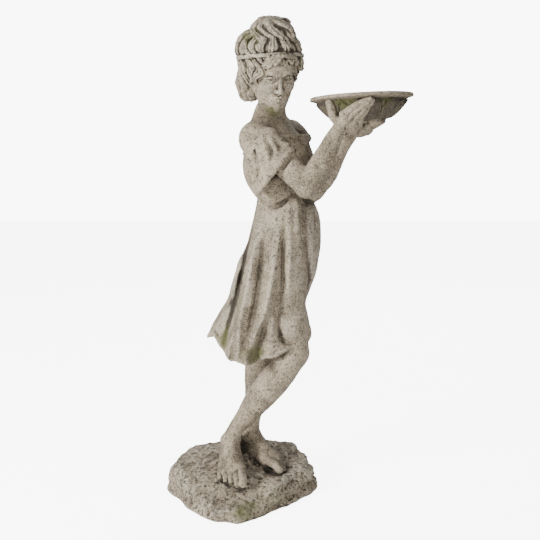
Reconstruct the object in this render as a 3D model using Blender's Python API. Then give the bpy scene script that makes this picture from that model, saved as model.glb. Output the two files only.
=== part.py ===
# Garden bird bath statue in cast stone. A girl in a loose, off-the-shoulder tunic stands cross-legged on a
# rock and holds a shallow flared bowl out in both hands. Two pieces: the figure cast in one with its rock,
# and the bowl, which sits in her hands. Metres, +Z up, origin at the middle of the rock's underside.
# The bowl is held out along +X, and the statue's show side, which she looks to, is -Y.
# The figure is carved as an implicit form: strokes of clay, each a signed distance, blended one by one.

import itertools
import math

import bmesh
import bpy
import numpy as np
from mathutils import Vector

# Driving sizes
FIGURE_HEIGHT = 0.945        # from the rock's top under the feet to the top of the hair
ROCK_HEIGHT = 0.055          # from the ground to the rock's top under the feet
ROCK_WIDTH = 0.330           # along X
ROCK_DEPTH = 0.310           # along Y
BOWL_DIAMETER = 0.202        # over the rim
BOWL_DEPTH = 0.055           # from the rim's top to the underside of the foot
BOWL_WALL = 0.008
LIP_THICKNESS = 0.006
FLARE = 0.0165               # how far the rim stands out past the body
FLARE_DROP = 0.012           # how far below the rim the body begins
FOOT_RADIUS = 0.032
FOOT_HEIGHT = 0.005
BOWL_TILT = math.radians(2.7)    # the rim stands higher on the far side from her
SEAT_GAP = 0.0004            # between the bowl and the hands that carry it
PETALS = 16
PETAL_RELIEF = 0.003
ARM_THICKNESS = 1.0          # a share of the drawn arm

# How finely the solids are faceted
CELL = 0.0048
FIGURE_TRIANGLES = 7400
BOWL_STEPS = 48

# The pose below is drawn in millimetres on a figure 945 high with its soles at 55, and grows with the figure
MM = FIGURE_HEIGHT / 945.0
ZERO = ROCK_HEIGHT - 55.0 * MM

STONE = (0.36, 0.33, 0.28)


def at(x, y, z):
    """A point of the pose, drawn in millimetres, as it stands on the rock."""
    return np.array((x * MM, y * MM, ZERO + z * MM))


def unit(v):
    v = np.asarray(v, float)
    return v / np.linalg.norm(v)


def smooth_step(low, high, value):
    t = np.clip((value - low) / (high - low), 0.0, 1.0)
    return t * t * (3.0 - 2.0 * t)


def curve_through(points, count):
    """Catmull-Rom curve through the points, as count + 1 points in even steps of the parameter."""
    points = np.asarray(points, float)
    padded = np.vstack([2 * points[0] - points[1], points, 2 * points[-1] - points[-2]])
    out = []
    for s in np.linspace(0.0, len(points) - 1.0, count + 1):
        i = min(int(s), len(points) - 2)
        t = s - i
        a, b, c, d = padded[i:i + 4]
        out.append(0.5 * (2 * b + (c - a) * t + (2 * a - 5 * b + 4 * c - d) * t * t
                          + (3 * b - 3 * c + d - a) * t ** 3))
    return np.array(out)


class Noise:
    """Smooth value noise on a wrapping lattice of fixed random numbers."""
    SIZE = 32

    def __init__(self, seed):
        self.table = np.random.default_rng(seed).uniform(-1.0, 1.0, (self.SIZE,) * 3)

    def __call__(self, points, scale):
        q = points / scale
        low = np.floor(q).astype(int)
        t = q - low
        t = t * t * (3.0 - 2.0 * t)
        total = 0.0
        for corner in itertools.product((0, 1), repeat=3):
            weight = np.prod(np.where(corner, t, 1.0 - t), axis=1)
            index = (low + corner) % self.SIZE
            total = total + weight * self.table[index[:, 0], index[:, 1], index[:, 2]]
        return total


class Clay:
    """Strokes of clay laid on or cut away in order, each blended softly into what is there."""

    def __init__(self):
        self.strokes = []

    def lay(self, distance, low, high, blend=0.0, cut=False):
        self.strokes.append((distance, np.asarray(low), np.asarray(high), blend, cut))

    def tube(self, points, radii, blend=0.0, cut=False, flat=None, smooth=0):
        """A limb along points, its radius changing from one to the next. flat is (direction, share)."""
        points, radii = np.asarray(points, float), np.asarray(radii, float)
        if smooth:
            both = curve_through(np.column_stack([points, radii]), smooth)
            points, radii = both[:, :3], both[:, 3]
        start, step = points[:-1], np.diff(points, axis=0)
        length2 = np.maximum((step ** 2).sum(1), 1e-12)
        across, share = (unit(flat[0]), flat[1]) if flat else (None, 1.0)

        def distance(p):
            best = np.full(len(p), 1e3)
            for a, d, l2, r0, r1 in zip(start, step, length2, radii[:-1], radii[1:]):
                v = p - a
                t = np.clip(v @ d / l2, 0.0, 1.0)
                v = v - t[:, None] * d
                if across is not None:
                    v = v + (1.0 / share - 1.0) * (v @ across)[:, None] * across
                best = np.minimum(best, np.sqrt((v * v).sum(1)) - (r0 + (r1 - r0) * t))
            return best
        reach = radii.max()
        self.lay(distance, points.min(0) - reach, points.max(0) + reach, blend, cut)

    def egg(self, centre, radii, axes=None, blend=0.0, cut=False):
        centre, radii = np.asarray(centre, float), np.asarray(radii, float)
        axes = np.eye(3) if axes is None else np.asarray(axes, float)

        def distance(p):
            q = (p - centre) @ axes.T / radii
            k0 = np.sqrt((q * q).sum(1))
            k1 = np.sqrt(((q / radii) ** 2).sum(1))
            return k0 * (k0 - 1.0) / np.maximum(k1, 1e-9)
        reach = radii.max()
        self.lay(distance, centre - reach, centre + reach, blend, cut)

    def near(self, low, high):
        """The strokes that can change the surface inside a box."""
        return [s for s in self.strokes
                if np.all(s[1] - s[3] <= high) and np.all(s[2] + s[3] >= low)]

    @staticmethod
    def measure(strokes, points):
        total = np.full(len(points), 1.0)
        for distance, _, _, blend, cut in strokes:
            d = distance(points)
            if cut:
                total = -blended(-total, d, blend)
            else:
                total = blended(total, d, blend)
        return total


def blended(a, b, blend):
    """The smaller distance, rounded where the two are alike."""
    if blend <= 0.0:
        return np.minimum(a, b)
    h = np.clip(0.5 + 0.5 * (b - a) / blend, 0.0, 1.0)
    return b + (a - b) * h - blend * h * (1.0 - h)


def both(a, b, blend):
    """The larger distance, rounded: what lies in both forms."""
    return -blended(-a, -b, blend)


# The bowl

RIM_RADIUS = BOWL_DIAMETER / 2
BODY_RADIUS = RIM_RADIUS - FLARE
BODY_END = BOWL_DEPTH - FOOT_HEIGHT
BOWL_CENTRE = at(239, -41, 845)


def bowl_radius(drop):
    """Outer radius of the bowl, this far below its rim: a flared lip, then a body like a parabola."""
    if drop < FLARE_DROP:
        t = (drop - LIP_THICKNESS) / (FLARE_DROP - LIP_THICKNESS)
        return BODY_RADIUS + FLARE * (1.0 - min(max(t, 0.0), 1.0)) ** 1.6
    t = min((drop - FLARE_DROP) / (BODY_END - FLARE_DROP), 1.0)
    return FOOT_RADIUS + (BODY_RADIUS - FOOT_RADIUS) * math.sqrt(1.0 - t)


def tilted(v):
    """A vector of the level bowl, turned as the bowl is tilted."""
    c, s = math.cos(BOWL_TILT), math.sin(BOWL_TILT)
    return np.array((v[0] * c - v[2] * s, v[1], v[0] * s + v[2] * c))


def on_bowl(angle, drop, out):
    """A point that stands out millimetres off the bowl's outer wall; angle in degrees from +X, drop a share of
    the bowl's depth."""
    a, depth = math.radians(angle), drop * BOWL_DEPTH
    slope = (bowl_radius(depth + 1e-3) - bowl_radius(depth - 1e-3)) / 2e-3
    normal = unit((math.cos(a), math.sin(a), slope))
    r = bowl_radius(depth)
    return BOWL_CENTRE + tilted((r * math.cos(a), r * math.sin(a), -depth)) + tilted(normal) * out * MM


def bowl_profile():
    """Radius and height from the middle of the underside, out over the lip and down inside to the middle."""
    outer = [(0.0, -BOWL_DEPTH), (FOOT_RADIUS, -BOWL_DEPTH), (FOOT_RADIUS, -BODY_END)]
    drops = BODY_END - (BODY_END - FLARE_DROP) * np.linspace(0.2, 1.0, 5) ** 1.5
    outer += [(bowl_radius(d), -d) for d in drops]
    outer += [(bowl_radius(d), -d) for d in (0.75 * FLARE_DROP, LIP_THICKNESS * 1.05)]
    half = LIP_THICKNESS / 2
    lip = [(RIM_RADIUS - half + half * math.cos(a), -half + half * math.sin(a))
           for a in np.radians((-45, 45))]
    inner_radius = BODY_RADIUS - BOWL_WALL
    floor = BOWL_DEPTH - FOOT_HEIGHT - BOWL_WALL
    inner = [(RIM_RADIUS - 2.2 * half, 0.0)]
    for t in np.linspace(0.0, 1.0, 6)[:-1]:
        inner.append((inner_radius * math.cos(t * math.pi / 2) ** 0.8,
                      -FLARE_DROP - (floor - FLARE_DROP) * math.sin(t * math.pi / 2)))
    return outer + lip + inner + [(0.0, -floor)]


def petal_height(angle, drop):
    """Relief of the lotus petals on the outer wall: 1 on a petal, 0 in the grooves and above the tips."""
    share = (drop - FLARE_DROP) / (BODY_END - FLARE_DROP)
    if not 0.0 <= share < 0.98:
        return 0.0
    turn = abs((angle * PETALS / math.tau) % 1.0 - 0.5)
    half_width = 0.08 + 0.40 * math.sqrt(min(share / 0.45, 1.0))
    return max(0.0, min(1.0, 0.5 + (half_width - turn) * 8.0))


def stone(name):
    material = bpy.data.materials.new(name)
    material.use_nodes = True
    shader = material.node_tree.nodes["Principled BSDF"]
    shader.inputs["Base Color"].default_value = (*STONE, 1.0)
    shader.inputs["Roughness"].default_value = 0.92
    shader.inputs["Metallic"].default_value = 0.0
    return material


def object_of(name, mesh, material):
    obj = bpy.data.objects.new(name, mesh)
    mesh.materials.append(material)
    bpy.context.scene.collection.objects.link(obj)
    return obj


def turned(profile, relief, grown):
    """The profile spun round the Z axis, with the petals raised on its outer wall."""
    bm = bmesh.new()
    line = [bm.verts.new((r, 0.0, z)) for r, z in profile]
    edges = [bm.edges.new(pair) for pair in zip(line, line[1:])]
    bmesh.ops.spin(bm, geom=line + edges, cent=(0, 0, 0), axis=(0, 0, 1), angle=math.tau,
                   steps=BOWL_STEPS, use_merge=True)
    bmesh.ops.remove_doubles(bm, verts=bm.verts, dist=1e-6)
    bmesh.ops.recalc_face_normals(bm, faces=bm.faces)
    bmesh.ops.triangulate(bm, faces=bm.faces, quad_method="FIXED")
    for v in bm.verts:
        r = math.hypot(v.co.x, v.co.y)
        outside = r > bowl_radius(-v.co.z) - BOWL_WALL / 2
        if r > 0.0 and outside:
            out = grown + relief * petal_height(math.atan2(v.co.y, v.co.x), -v.co.z)
            v.co.x *= 1.0 + out / r
            v.co.y *= 1.0 + out / r
        if outside or v.co.z < -BODY_END:
            v.co.z -= grown
    mesh = bpy.data.meshes.new("turned")
    bm.to_mesh(mesh)
    bm.free()
    return mesh


def make_bowl(material):
    bowl = object_of("bowl", turned(bowl_profile(), PETAL_RELIEF, 0.0), material)
    bowl.data.shade_smooth()
    bowl.data.set_sharp_from_angle(angle=math.radians(40))
    bowl.location = BOWL_CENTRE
    bowl.rotation_euler.y = -BOWL_TILT
    return bowl


def make_seat():
    """The cutter that clears the hands by the seat gap: the bowl's outer skin, grown and closed on top."""
    outer = [p for p in bowl_profile() if p[0] >= bowl_radius(-p[1]) - BOWL_WALL / 2 or p[1] <= -BODY_END - 1e-6]
    profile = outer + [(0.0, outer[-1][1] + 2 * SEAT_GAP)]
    seat = object_of("bowl_seat_cutter", turned(profile, PETAL_RELIEF, SEAT_GAP), stone("cutter"))
    seat.location = BOWL_CENTRE
    seat.rotation_euler.y = -BOWL_TILT
    seat.hide_render = True
    seat.display_type = "WIRE"
    return seat


# The rock

ROCK_NOISE = Noise(11)
ROCK_OUTLINE = ((-8, -136), (-50, -130), (-74, -108), (-122, -52), (-142, -20), (-165, 22), (-150, 88),
                (-96, 148), (-20, 174), (70, 168), (134, 116), (160, 60), (163, 16), (146, -6), (66, -86),
                (20, -126))


def rock_point(x, y):
    """A point of the rock's plan, drawn in millimetres on a rock 330 by 310."""
    return np.array((x * ROCK_WIDTH / 330.0, y * ROCK_DEPTH / 310.0))


def plan_distance(p, corners):
    """Signed distance to a closed outline in plan."""
    best = np.full(len(p), 1e9)
    inside = np.zeros(len(p), bool)
    for a, b in zip(corners, np.roll(corners, -1, axis=0)):
        d, v = b - a, p - a
        t = np.clip(v @ d / (d @ d), 0.0, 1.0)
        best = np.minimum(best, ((v - t[:, None] * d) ** 2).sum(1))
        crosses = (a[1] > p[:, 1]) != (b[1] > p[:, 1])
        rise = (p[:, 1] - a[1]) / np.where(abs(b[1] - a[1]) < 1e-9, 1e-9, b[1] - a[1])
        inside ^= crosses & (p[:, 0] < a[0] + rise * (b[0] - a[0]))
    return np.sqrt(best) * np.where(inside, -1.0, 1.0)


def rock_top(p):
    """Height of the rock's top: low in front, rising to where the feet stand, with a hollow for the back foot."""
    x, y = p[:, 0] / ROCK_WIDTH, p[:, 1] / ROCK_DEPTH
    rise = smooth_step(-0.52, 0.16, y) - 0.25 * smooth_step(0.28, 0.6, y)
    side = 1.0 - 2.0 * x * x
    hollow = 0.24 * np.exp(-((x - 0.21) ** 2 + (y - 0.03) ** 2) / 0.020)
    lump = 0.10 * np.exp(-((x - 0.24) ** 2 + (y - 0.33) ** 2) / 0.02)
    return ROCK_HEIGHT * (0.38 + 1.0 * rise * side - hollow + lump)


ROCK_CORNERS = np.array([rock_point(*c) for c in ROCK_OUTLINE])


def rock_distance(p):
    rough = 0.0045 * ROCK_NOISE(p, 0.036) + 0.003 * abs(ROCK_NOISE(p + 0.4, 0.022)) - 0.001
    side = plan_distance(p[:, :2], ROCK_CORNERS) + 0.16 * p[:, 2] + 1.2 * rough
    ledge = 0.007 * np.sin((p[:, 2] - 0.30 * p[:, 0] + 0.1 * p[:, 1]) / 0.0042) * smooth_step(-0.02, 0.06, p[:, 0])
    top = (p[:, 2] - rock_top(p)) * 0.85 + rough
    return both(side + 0.5 * ledge, top + 0.25 * ledge, 0.010)


def carve_rock(clay):
    low = (*(ROCK_CORNERS.min(0) - 0.01), -0.02)
    high = (*(ROCK_CORNERS.max(0) + 0.01), ROCK_HEIGHT * 1.8)
    clay.lay(rock_distance, low, high)


# The body

FRONT = unit((0.88, -0.47, 0.0))      # the way her chest faces
SIDE = unit((-0.47, -0.88, 0.0))      # towards her right hand
BODY_AXES = np.array([FRONT, SIDE, (0.0, 0.0, 1.0)])

RIGHT_SHOULDER = at(30, -72, 764)
LEFT_SHOULDER = at(106, 68, 770)
RIGHT_ELBOW = at(130, -108, 672)
LEFT_ELBOW = at(146, -26, 661)
RIGHT_WRIST = on_bowl(229, 0.98, 35)
LEFT_WRIST = BOWL_CENTRE + tilted((-29 * MM, -6 * MM, -BOWL_DEPTH - 25 * MM))


def mm(*sizes):
    return np.array(sizes) * MM


def carve_torso(clay):
    clay.egg(at(66, -3, 722), mm(50, 66, 88), BODY_AXES, blend=0.01)
    clay.tube([RIGHT_SHOULDER, at(60, -4, 778), LEFT_SHOULDER], mm(26, 30, 25), blend=20 * MM)
    clay.tube([at(36, -56, 782), at(54, -6, 808), at(96, 46, 784)], mm(16, 24, 15), blend=18 * MM)
    clay.tube([at(56, -2, 778), at(61, -9, 812), at(67, -16, 848)], mm(36, 29, 26), blend=16 * MM)
    clay.egg(RIGHT_SHOULDER + mm(-1, -4, -6), mm(28, 28, 32), blend=14 * MM)
    for x, y in ((92, -46), (116, -2)):
        clay.egg(at(x, y, 724), mm(27, 27, 26), BODY_AXES, blend=16 * MM)
    clay.egg(at(90, -22, 746), mm(36, 50, 36), BODY_AXES, blend=16 * MM)
    clay.egg(at(97, -10, 744), mm(33, 46, 25), BODY_AXES, blend=14 * MM)


def carve_arm(clay, shoulder, elbow, wrist, outer, blend=10):
    thick = ARM_THICKNESS
    clay.tube([shoulder, (shoulder + elbow) / 2 + mm(0, 0, 3), elbow],
              mm(26, 26, 22) * thick, blend=blend * MM, smooth=6)
    along = wrist - elbow
    clay.tube([elbow, elbow + 0.3 * along + outer, elbow + 0.7 * along, wrist],
              mm(23, 24, 17.5, 13) * thick, blend=8 * MM, smooth=8)


def carve_right_hand(clay):
    """The near hand: a flat grip along the bowl's wall, thumb up to the rim."""
    heel = on_bowl(232, 0.88, 15)
    clay.tube([RIGHT_WRIST, heel], mm(13, 13), blend=6 * MM)
    rows = (((236, 0.56), (273, 0.15), 7.0), ((241, 0.68), (276, 0.20), 7.2),
            ((247, 0.80), (275, 0.31), 7.0), ((254, 0.90), (271.5, 0.46), 6.2))
    for (angle, drop), (tip_angle, tip_drop), thick in rows:
        knuckle = on_bowl(angle, drop, thick + 3.0)
        clay.tube([heel, knuckle], mm(12, thick + 1.4), blend=7 * MM)
        steps = [on_bowl(angle + (tip_angle - angle) * t, drop + (tip_drop - drop) * t, thick + lift)
                 for t, lift in ((0.0, 1.5), (0.34, 2.2), (0.66, 0.6), (0.88, -1.0), (1.0, -1.5))]
        clay.tube(steps, mm(thick, thick, thick * 0.94, thick * 0.86, thick * 0.7), blend=1.2 * MM)
    thumb = [on_bowl(212, 0.88, 13), on_bowl(217, 0.62, 9.5), on_bowl(220, 0.36, 7.5), on_bowl(221, 0.17, 5.5)]
    clay.tube([heel, thumb[0]], mm(12, 10), blend=7 * MM)
    clay.tube(thumb, mm(10, 9.5, 8, 6.5), blend=6 * MM, smooth=6)


def carve_left_hand(clay):
    """The far hand lies open under the bowl's foot."""
    under = -BOWL_DEPTH - 11 * MM
    palm = BOWL_CENTRE + tilted((-4 * MM, 2 * MM, under))
    clay.tube([LEFT_WRIST, palm + mm(-16, -4, -4), palm + mm(12, 2, 0)], mm(13, 15, 14), blend=8 * MM,
              flat=((0, 0, 1), 0.8))
    for angle, reach in ((40, 0.60), (62, 0.50), (84, 0.46), (106, 0.52)):
        knuckle = on_bowl(angle, 0.90, 4) + mm(0, 0, -3)
        clay.tube([palm, knuckle, on_bowl(angle, 0.80, 6.5), on_bowl(angle, reach, 5.5)],
                  mm(12, 7.5, 7, 6), blend=5 * MM)
    thumb = [palm + mm(-6, -12, 0), on_bowl(300, 0.95, 5), on_bowl(318, 0.86, 5.5)]
    clay.tube(thumb, mm(10, 8, 6), blend=5 * MM)


# Shin and thigh points, and radii, from hip or knee down
RIGHT_THIGH = ((88, -34, 430, 38), (104, -46, 370, 33), (110, -55, 330, 29))
RIGHT_SHIN = ((110, -55, 332, 28), (88, -47, 294, 31), (55, -31, 248, 32), (32, -18, 215, 28),
              (10, -6, 180, 22), (-12, 6, 148, 17.5), (-26, 16, 118, 17.5))
LEFT_THIGH = ((56, 36, 430, 38), (46, 38, 380, 34), (42, 38, 330, 31))
LEFT_SHIN = ((42, 38, 330, 31), (37, 46, 288, 31), (33, 52, 240, 29), (27, 60, 190, 22.5),
             (21, 66, 145, 17), (19, 69, 108, 17))


def carve_leg(clay, thigh, shin):
    for rows, blend in ((thigh, 8), (shin, 10)):
        points = [at(x, y, z) for x, y, z, _ in rows]
        clay.tube(points, mm(*[r for *_, r in rows]), blend=blend * MM, smooth=10)


def carve_foot(clay, ankle, heading, slope, inner):
    """A bare foot. heading is the way it points in plan, slope its fall, inner +1 if the big toe is to its left."""
    down = math.radians(slope)
    ahead = unit((heading[0], heading[1], -math.tan(down) * math.hypot(*heading)))
    across = unit(np.cross((0.0, 0.0, 1.0), ahead)) * inner
    up = unit(np.cross(ahead, across)) * inner
    axes = np.array([ahead, across, up])
    sole = ankle - up * 41 * MM

    def spot(x, y, z):
        return sole + mm(x, y, z) @ axes
    clay.egg(spot(-20, 0, 20), mm(25, 20, 23), axes, blend=10 * MM)
    clay.tube([spot(0, 0, 40), spot(26, 2, 30), spot(56, 3, 17)], mm(18, 18, 14), blend=10 * MM, smooth=6)
    clay.tube([spot(-14, -6, 13), spot(30, -14, 11), spot(66, -17, 9)], mm(15, 13, 10), blend=10 * MM)
    clay.tube([spot(-10, 7, 14), spot(62, 17, 12)], mm(14, 13), blend=10 * MM)
    clay.egg(spot(58, 0, 12), mm(22, 28, 12), axes, blend=8 * MM)
    for side in (-1, 1):
        clay.egg(spot(-1, side * 16, 41), mm(8, 6, 9), axes, blend=6 * MM)
    for i in range(5):
        out = 20.5 - 11.2 * i - (2.2 if i else 0.0)
        root = 78 - 2.4 * i * i / 2
        long = 29 - 2.6 * i + (3.0 if i == 1 else 0.0)
        thick = 9.0 if i == 0 else 6.6 - 0.35 * i
        path = [spot(root - 12, out * 0.9, 13), spot(root + 0.35 * long, out, thick + 5.0),
                spot(root + 0.75 * long, out + 0.6, thick + 1.5), spot(root + long, out + 0.8, thick - 1.0)]
        clay.tube(path, mm(thick, thick, thick * 0.92, thick * 0.9), blend=1.0 * MM, smooth=6)


# The tunic

# Height of each section, then its middle in X and Y and its half widths, all drawn in millimetres
SKIRT = ((676, 78, -2, 46, 56), (652, 84, -2, 55, 60), (634, 90, -2, 61, 66), (600, 93, -2, 70, 76),
         (552, 88, 0, 77, 82), (519, 79, 0, 82.5, 85), (484, 69, 0, 86, 87), (453, 60, 0, 85, 88),
         (425, 52, 0, 83, 88), (395, 46, 0, 94, 91), (362, 40, 0, 104, 95), (330, 36, 0, 110, 98),
         (290, 30, 0, 116, 100))
HEM = ((-80, 356), (-60, 358), (-40, 337), (-19, 320), (-7, 323), (9, 318), (24, 315), (38, 321), (52, 328),
       (72, 330), (88, 338), (108, 352), (122, 364), (138, 374), (160, 382))
# Folds that show from the front: depth (a ridge is positive), width, then the line it follows in X and Z
FRONT_FOLDS = (
    (-8, 8, ((15, 545), (10, 515), (-4, 440), (-22, 385), (-40, 325))),
    (-5, 15, ((6, 510), (0, 480), (-14, 430), (-34, 385), (-50, 345))),
    (4, 5, ((31, 600), (20, 530), (9, 480), (0, 440), (-10, 400), (-20, 360), (-24, 330))),
    (5, 7, ((40, 620), (28, 550), (20, 500), (4, 430), (-3, 380), (-4, 320))),
    (-7, 9, ((56, 600), (44, 525), (38, 480), (32, 440), (25, 405), (18, 345))),
    (7, 9, ((84, 600), (68, 520), (60, 470), (50, 425), (35, 390), (20, 355), (12, 320))),
    (-9, 13, ((52, 415), (43, 365), (39, 345), (35, 312))),
    (3, 7, ((66, 420), (62, 390), (60, 360))),
    (3, 7, ((98, 635), (97, 580), (98, 520), (97, 450))),
    (-5, 8, ((90, 625), (86, 540), (84, 480), (78, 400))),
    (-5, 5, ((78, 430), (79, 390), (86, 365), (100, 358), (118, 366), (128, 400), (133, 440))),
    (5, 8, ((60, 340), (85, 346), (110, 350), (130, 362), (148, 378))),
    (-5, 8, ((128, 560), (132, 520), (138, 480), (132, 440))),
    (3, 7, ((112, 640), (114, 610), (117, 560))),
    (-3, 8, ((130, 640), (131, 610), (136, 560))),
)
FOLD_DEPTH = 1.9             # a share of the depths drawn above
BACK_FOLDS = 9


FINE_SKIRT = curve_through(SKIRT[::-1], 96)
FOLD_LINES = [(depth, width, curve_through(line, 3 * (len(line) - 1))) for depth, width, line in FRONT_FOLDS]
HEM_LINE = np.array(HEM, float)
HEM_ROLL = 2.0               # how far the rolled edge of the hem stands out


def section_at(z):
    """The skirt's middle and half widths at a height, on smooth curves through the drawn sections."""
    return [np.interp(z, FINE_SKIRT[:, 0], FINE_SKIRT[:, i]) for i in range(1, 5)]


def line_distance(x, z, points):
    """Distance in the XZ plane to a line through points, and how strong the line is there: it fades in
    from its upper end, and out towards its lower end where that is above the hem."""
    best, share = np.full(len(x), 1e9), np.zeros(len(x))
    for i, (a, b) in enumerate(zip(points, points[1:])):
        d = b - a
        t = np.clip(((x - a[0]) * d[0] + (z - a[1]) * d[1]) / (d @ d), 0.0, 1.0)
        gap = (x - a[0] - t * d[0]) ** 2 + (z - a[1] - t * d[1]) ** 2
        share = np.where(gap < best, (i + t) / (len(points) - 1), share)
        best = np.minimum(best, gap)
    strength = smooth_step(0.0, 0.3, share) if points[0][1] < 630 else 1.0
    if points[-1][1] > 350:
        strength = strength * smooth_step(1.0, 0.6, share)
    return np.sqrt(best), strength


def drawn(p):
    """The other way round from at(): points in the pose's own millimetres."""
    return p[:, 0] / MM, p[:, 1] / MM, (p[:, 2] - ZERO) / MM


def hem_height(x, y):
    front = np.interp(x, HEM_LINE[:, 0], HEM_LINE[:, 1])
    back = 334 + 7 * np.sin(x / 13.0) - 0.03 * x
    return front + (back - front) * smooth_step(-20, 35, y)


def fold_depth(x, y, z, cx, cy, a, b):
    total = np.zeros(len(x))
    front = 1.0 - smooth_step(-10, 25, y - cy)
    for depth, width, line in FOLD_LINES:
        close = (abs(z - line[:, 1].mean()) < np.ptp(line[:, 1]) / 2 + 3 * width) & (front > 0.0)
        if close.any():
            near, strength = line_distance(x[close], z[close], line)
            total[close] += FOLD_DEPTH * front[close] * depth * strength * np.exp(-(near / width) ** 2)
    angle = np.arctan2((y - cy) / b, (x - cx) / a)
    growth = smooth_step(660, 360, z)
    wave = np.cos(BACK_FOLDS * angle + 0.9 * np.sin(z / 60.0)) + 0.5 * np.cos((BACK_FOLDS + 4) * angle + z / 50.0)
    return total + (1.0 - front) * growth * 6.0 * wave


def skirt_form(p, inset=0.0):
    x, y, z = drawn(p)
    cx, cy, a, b = section_at(z)
    fold = fold_depth(x, y, z, cx, cy, a, b) + HEM_ROLL * np.exp(-((z - hem_height(x, y) - 7.0) / 5.0) ** 2)
    a, b = a - inset, b - inset
    u, v = (x - cx) / a, (y - cy) / b
    k0 = np.sqrt(u * u + v * v)
    k1 = np.sqrt((u / a) ** 2 + (v / b) ** 2)
    return k0 * (k0 - 1.0) / np.maximum(k1, 1e-9) - fold, x, y, z


def skirt_distance(p):
    d, x, y, z = skirt_form(p)
    low = hem_height(x, y)
    return both(both(d, low - z, 4.0), z - 668.0, 14.0) * 0.8 * MM


def hollow_distance(p):
    """The undercut inside the hem, between the cloth and the legs."""
    d, x, y, z = skirt_form(p, 14.0)
    low = hem_height(x, y)
    return both(d, z - low - 26.0, 12.0) * 0.8 * MM


def carve_skirt(clay):
    low, high = at(-95, -115, 285), at(185, 115, 690)
    clay.lay(skirt_distance, low, high, blend=10 * MM)
    clay.tube([at(104, -44, 440), at(106, -54, 395), at(108, -56, 372)], mm(26, 27, 24), blend=14 * MM)
    clay.lay(hollow_distance, low, high, blend=3 * MM, cut=True)


def neckline(x, y):
    """Height of the cloth's edge: high over the chest, lower over the back."""
    ahead = 0.88 * (x - 66) - 0.47 * (y + 3)
    return 742 + 24 * smooth_step(-20, 15, ahead) + 0.06 * (y + 15)


def bodice_body():
    body = Clay()
    body.egg(at(66, -3, 716), mm(57, 70, 86), BODY_AXES)
    for bx, by in ((92, -46), (116, -2)):
        body.egg(at(bx, by, 722), mm(32, 31, 32), BODY_AXES, blend=14 * MM)
    body.tube([at(70, -20, 752), at(104, 62, 764)], mm(34, 29), blend=14 * MM)
    body.egg(at(102, -24, 734), mm(37, 52, 40), BODY_AXES, blend=12 * MM)
    body.egg(at(50, -10, 704), mm(36, 54, 44), BODY_AXES, blend=12 * MM)
    return body.strokes


BODICE = bodice_body()


def bodice_distance(p):
    """The cloth over chest and back: the body a little grown, cut off along the neckline."""
    x, y, z = drawn(p)
    return both(Clay.measure(BODICE, p), (z - neckline(x, y)) * MM, 3 * MM)


def carve_bodice(clay):
    clay.lay(bodice_distance, at(-10, -90, 600), at(165, 110, 800), blend=2 * MM)
    clay.egg(at(67, -45, 664), mm(38, 38, 34), blend=3 * MM)
    clay.egg(at(112, -28, 676), mm(38, 38, 34), blend=8 * MM)
    roll = [at(76, -84, 762), at(92, -67, 761), at(114, -43, 762), at(131, -14, 763), at(138, 14, 767)]
    clay.tube(roll, mm(4, 5, 5, 5, 6), blend=8 * MM, smooth=10)
    clay.tube([at(88, -66, 749), at(112, -45, 745), at(136, -20, 750)], mm(4, 4.5, 4), blend=5 * MM, smooth=6)
    far = [at(100, 82, 792), at(112, 80, 786), at(126, 60, 776), at(138, 28, 764)]
    clay.tube(far, mm(11, 13, 12, 8), blend=8 * MM, smooth=8)
    clay.tube([at(106, 84, 782), at(118, 78, 740), at(124, 60, 700)], mm(22, 26, 16), blend=10 * MM, smooth=6)


POUCH_SEAM = ((26, -54, 660), (36, -58, 645), (50, -62, 633), (66, -64, 629), (82, -65, 634), (97, -66, 646))
NECK_EDGE = ((10, -94, 732), (24, -107, 739), (35, -112, 748), (51, -109, 761), (62, -104, 768), (71, -93, 767),
             (84, -79, 766), (97, -66, 767), (114, -47, 768), (131, -17, 768), (139, 12, 770))
SLEEVE_HEM = ((98, -109, 740), (88, -119, 726), (74, -123, 708), (56, -119, 685), (38, -102, 659))
SLEEVE_CREASES = (((30, -113, 741), (35, -117, 717), (36, -117, 698), (33, -108, 660)),
                  ((18, -104, 722), (24, -111, 711), (28, -113, 698), (31, -108, 668)))
SLEEVE_RIDGES = (((58, -106, 764), (70, -117, 742), (75, -121, 715)), ((48, -110, 756), (56, -119, 725), (58, -121, 695)))


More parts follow.
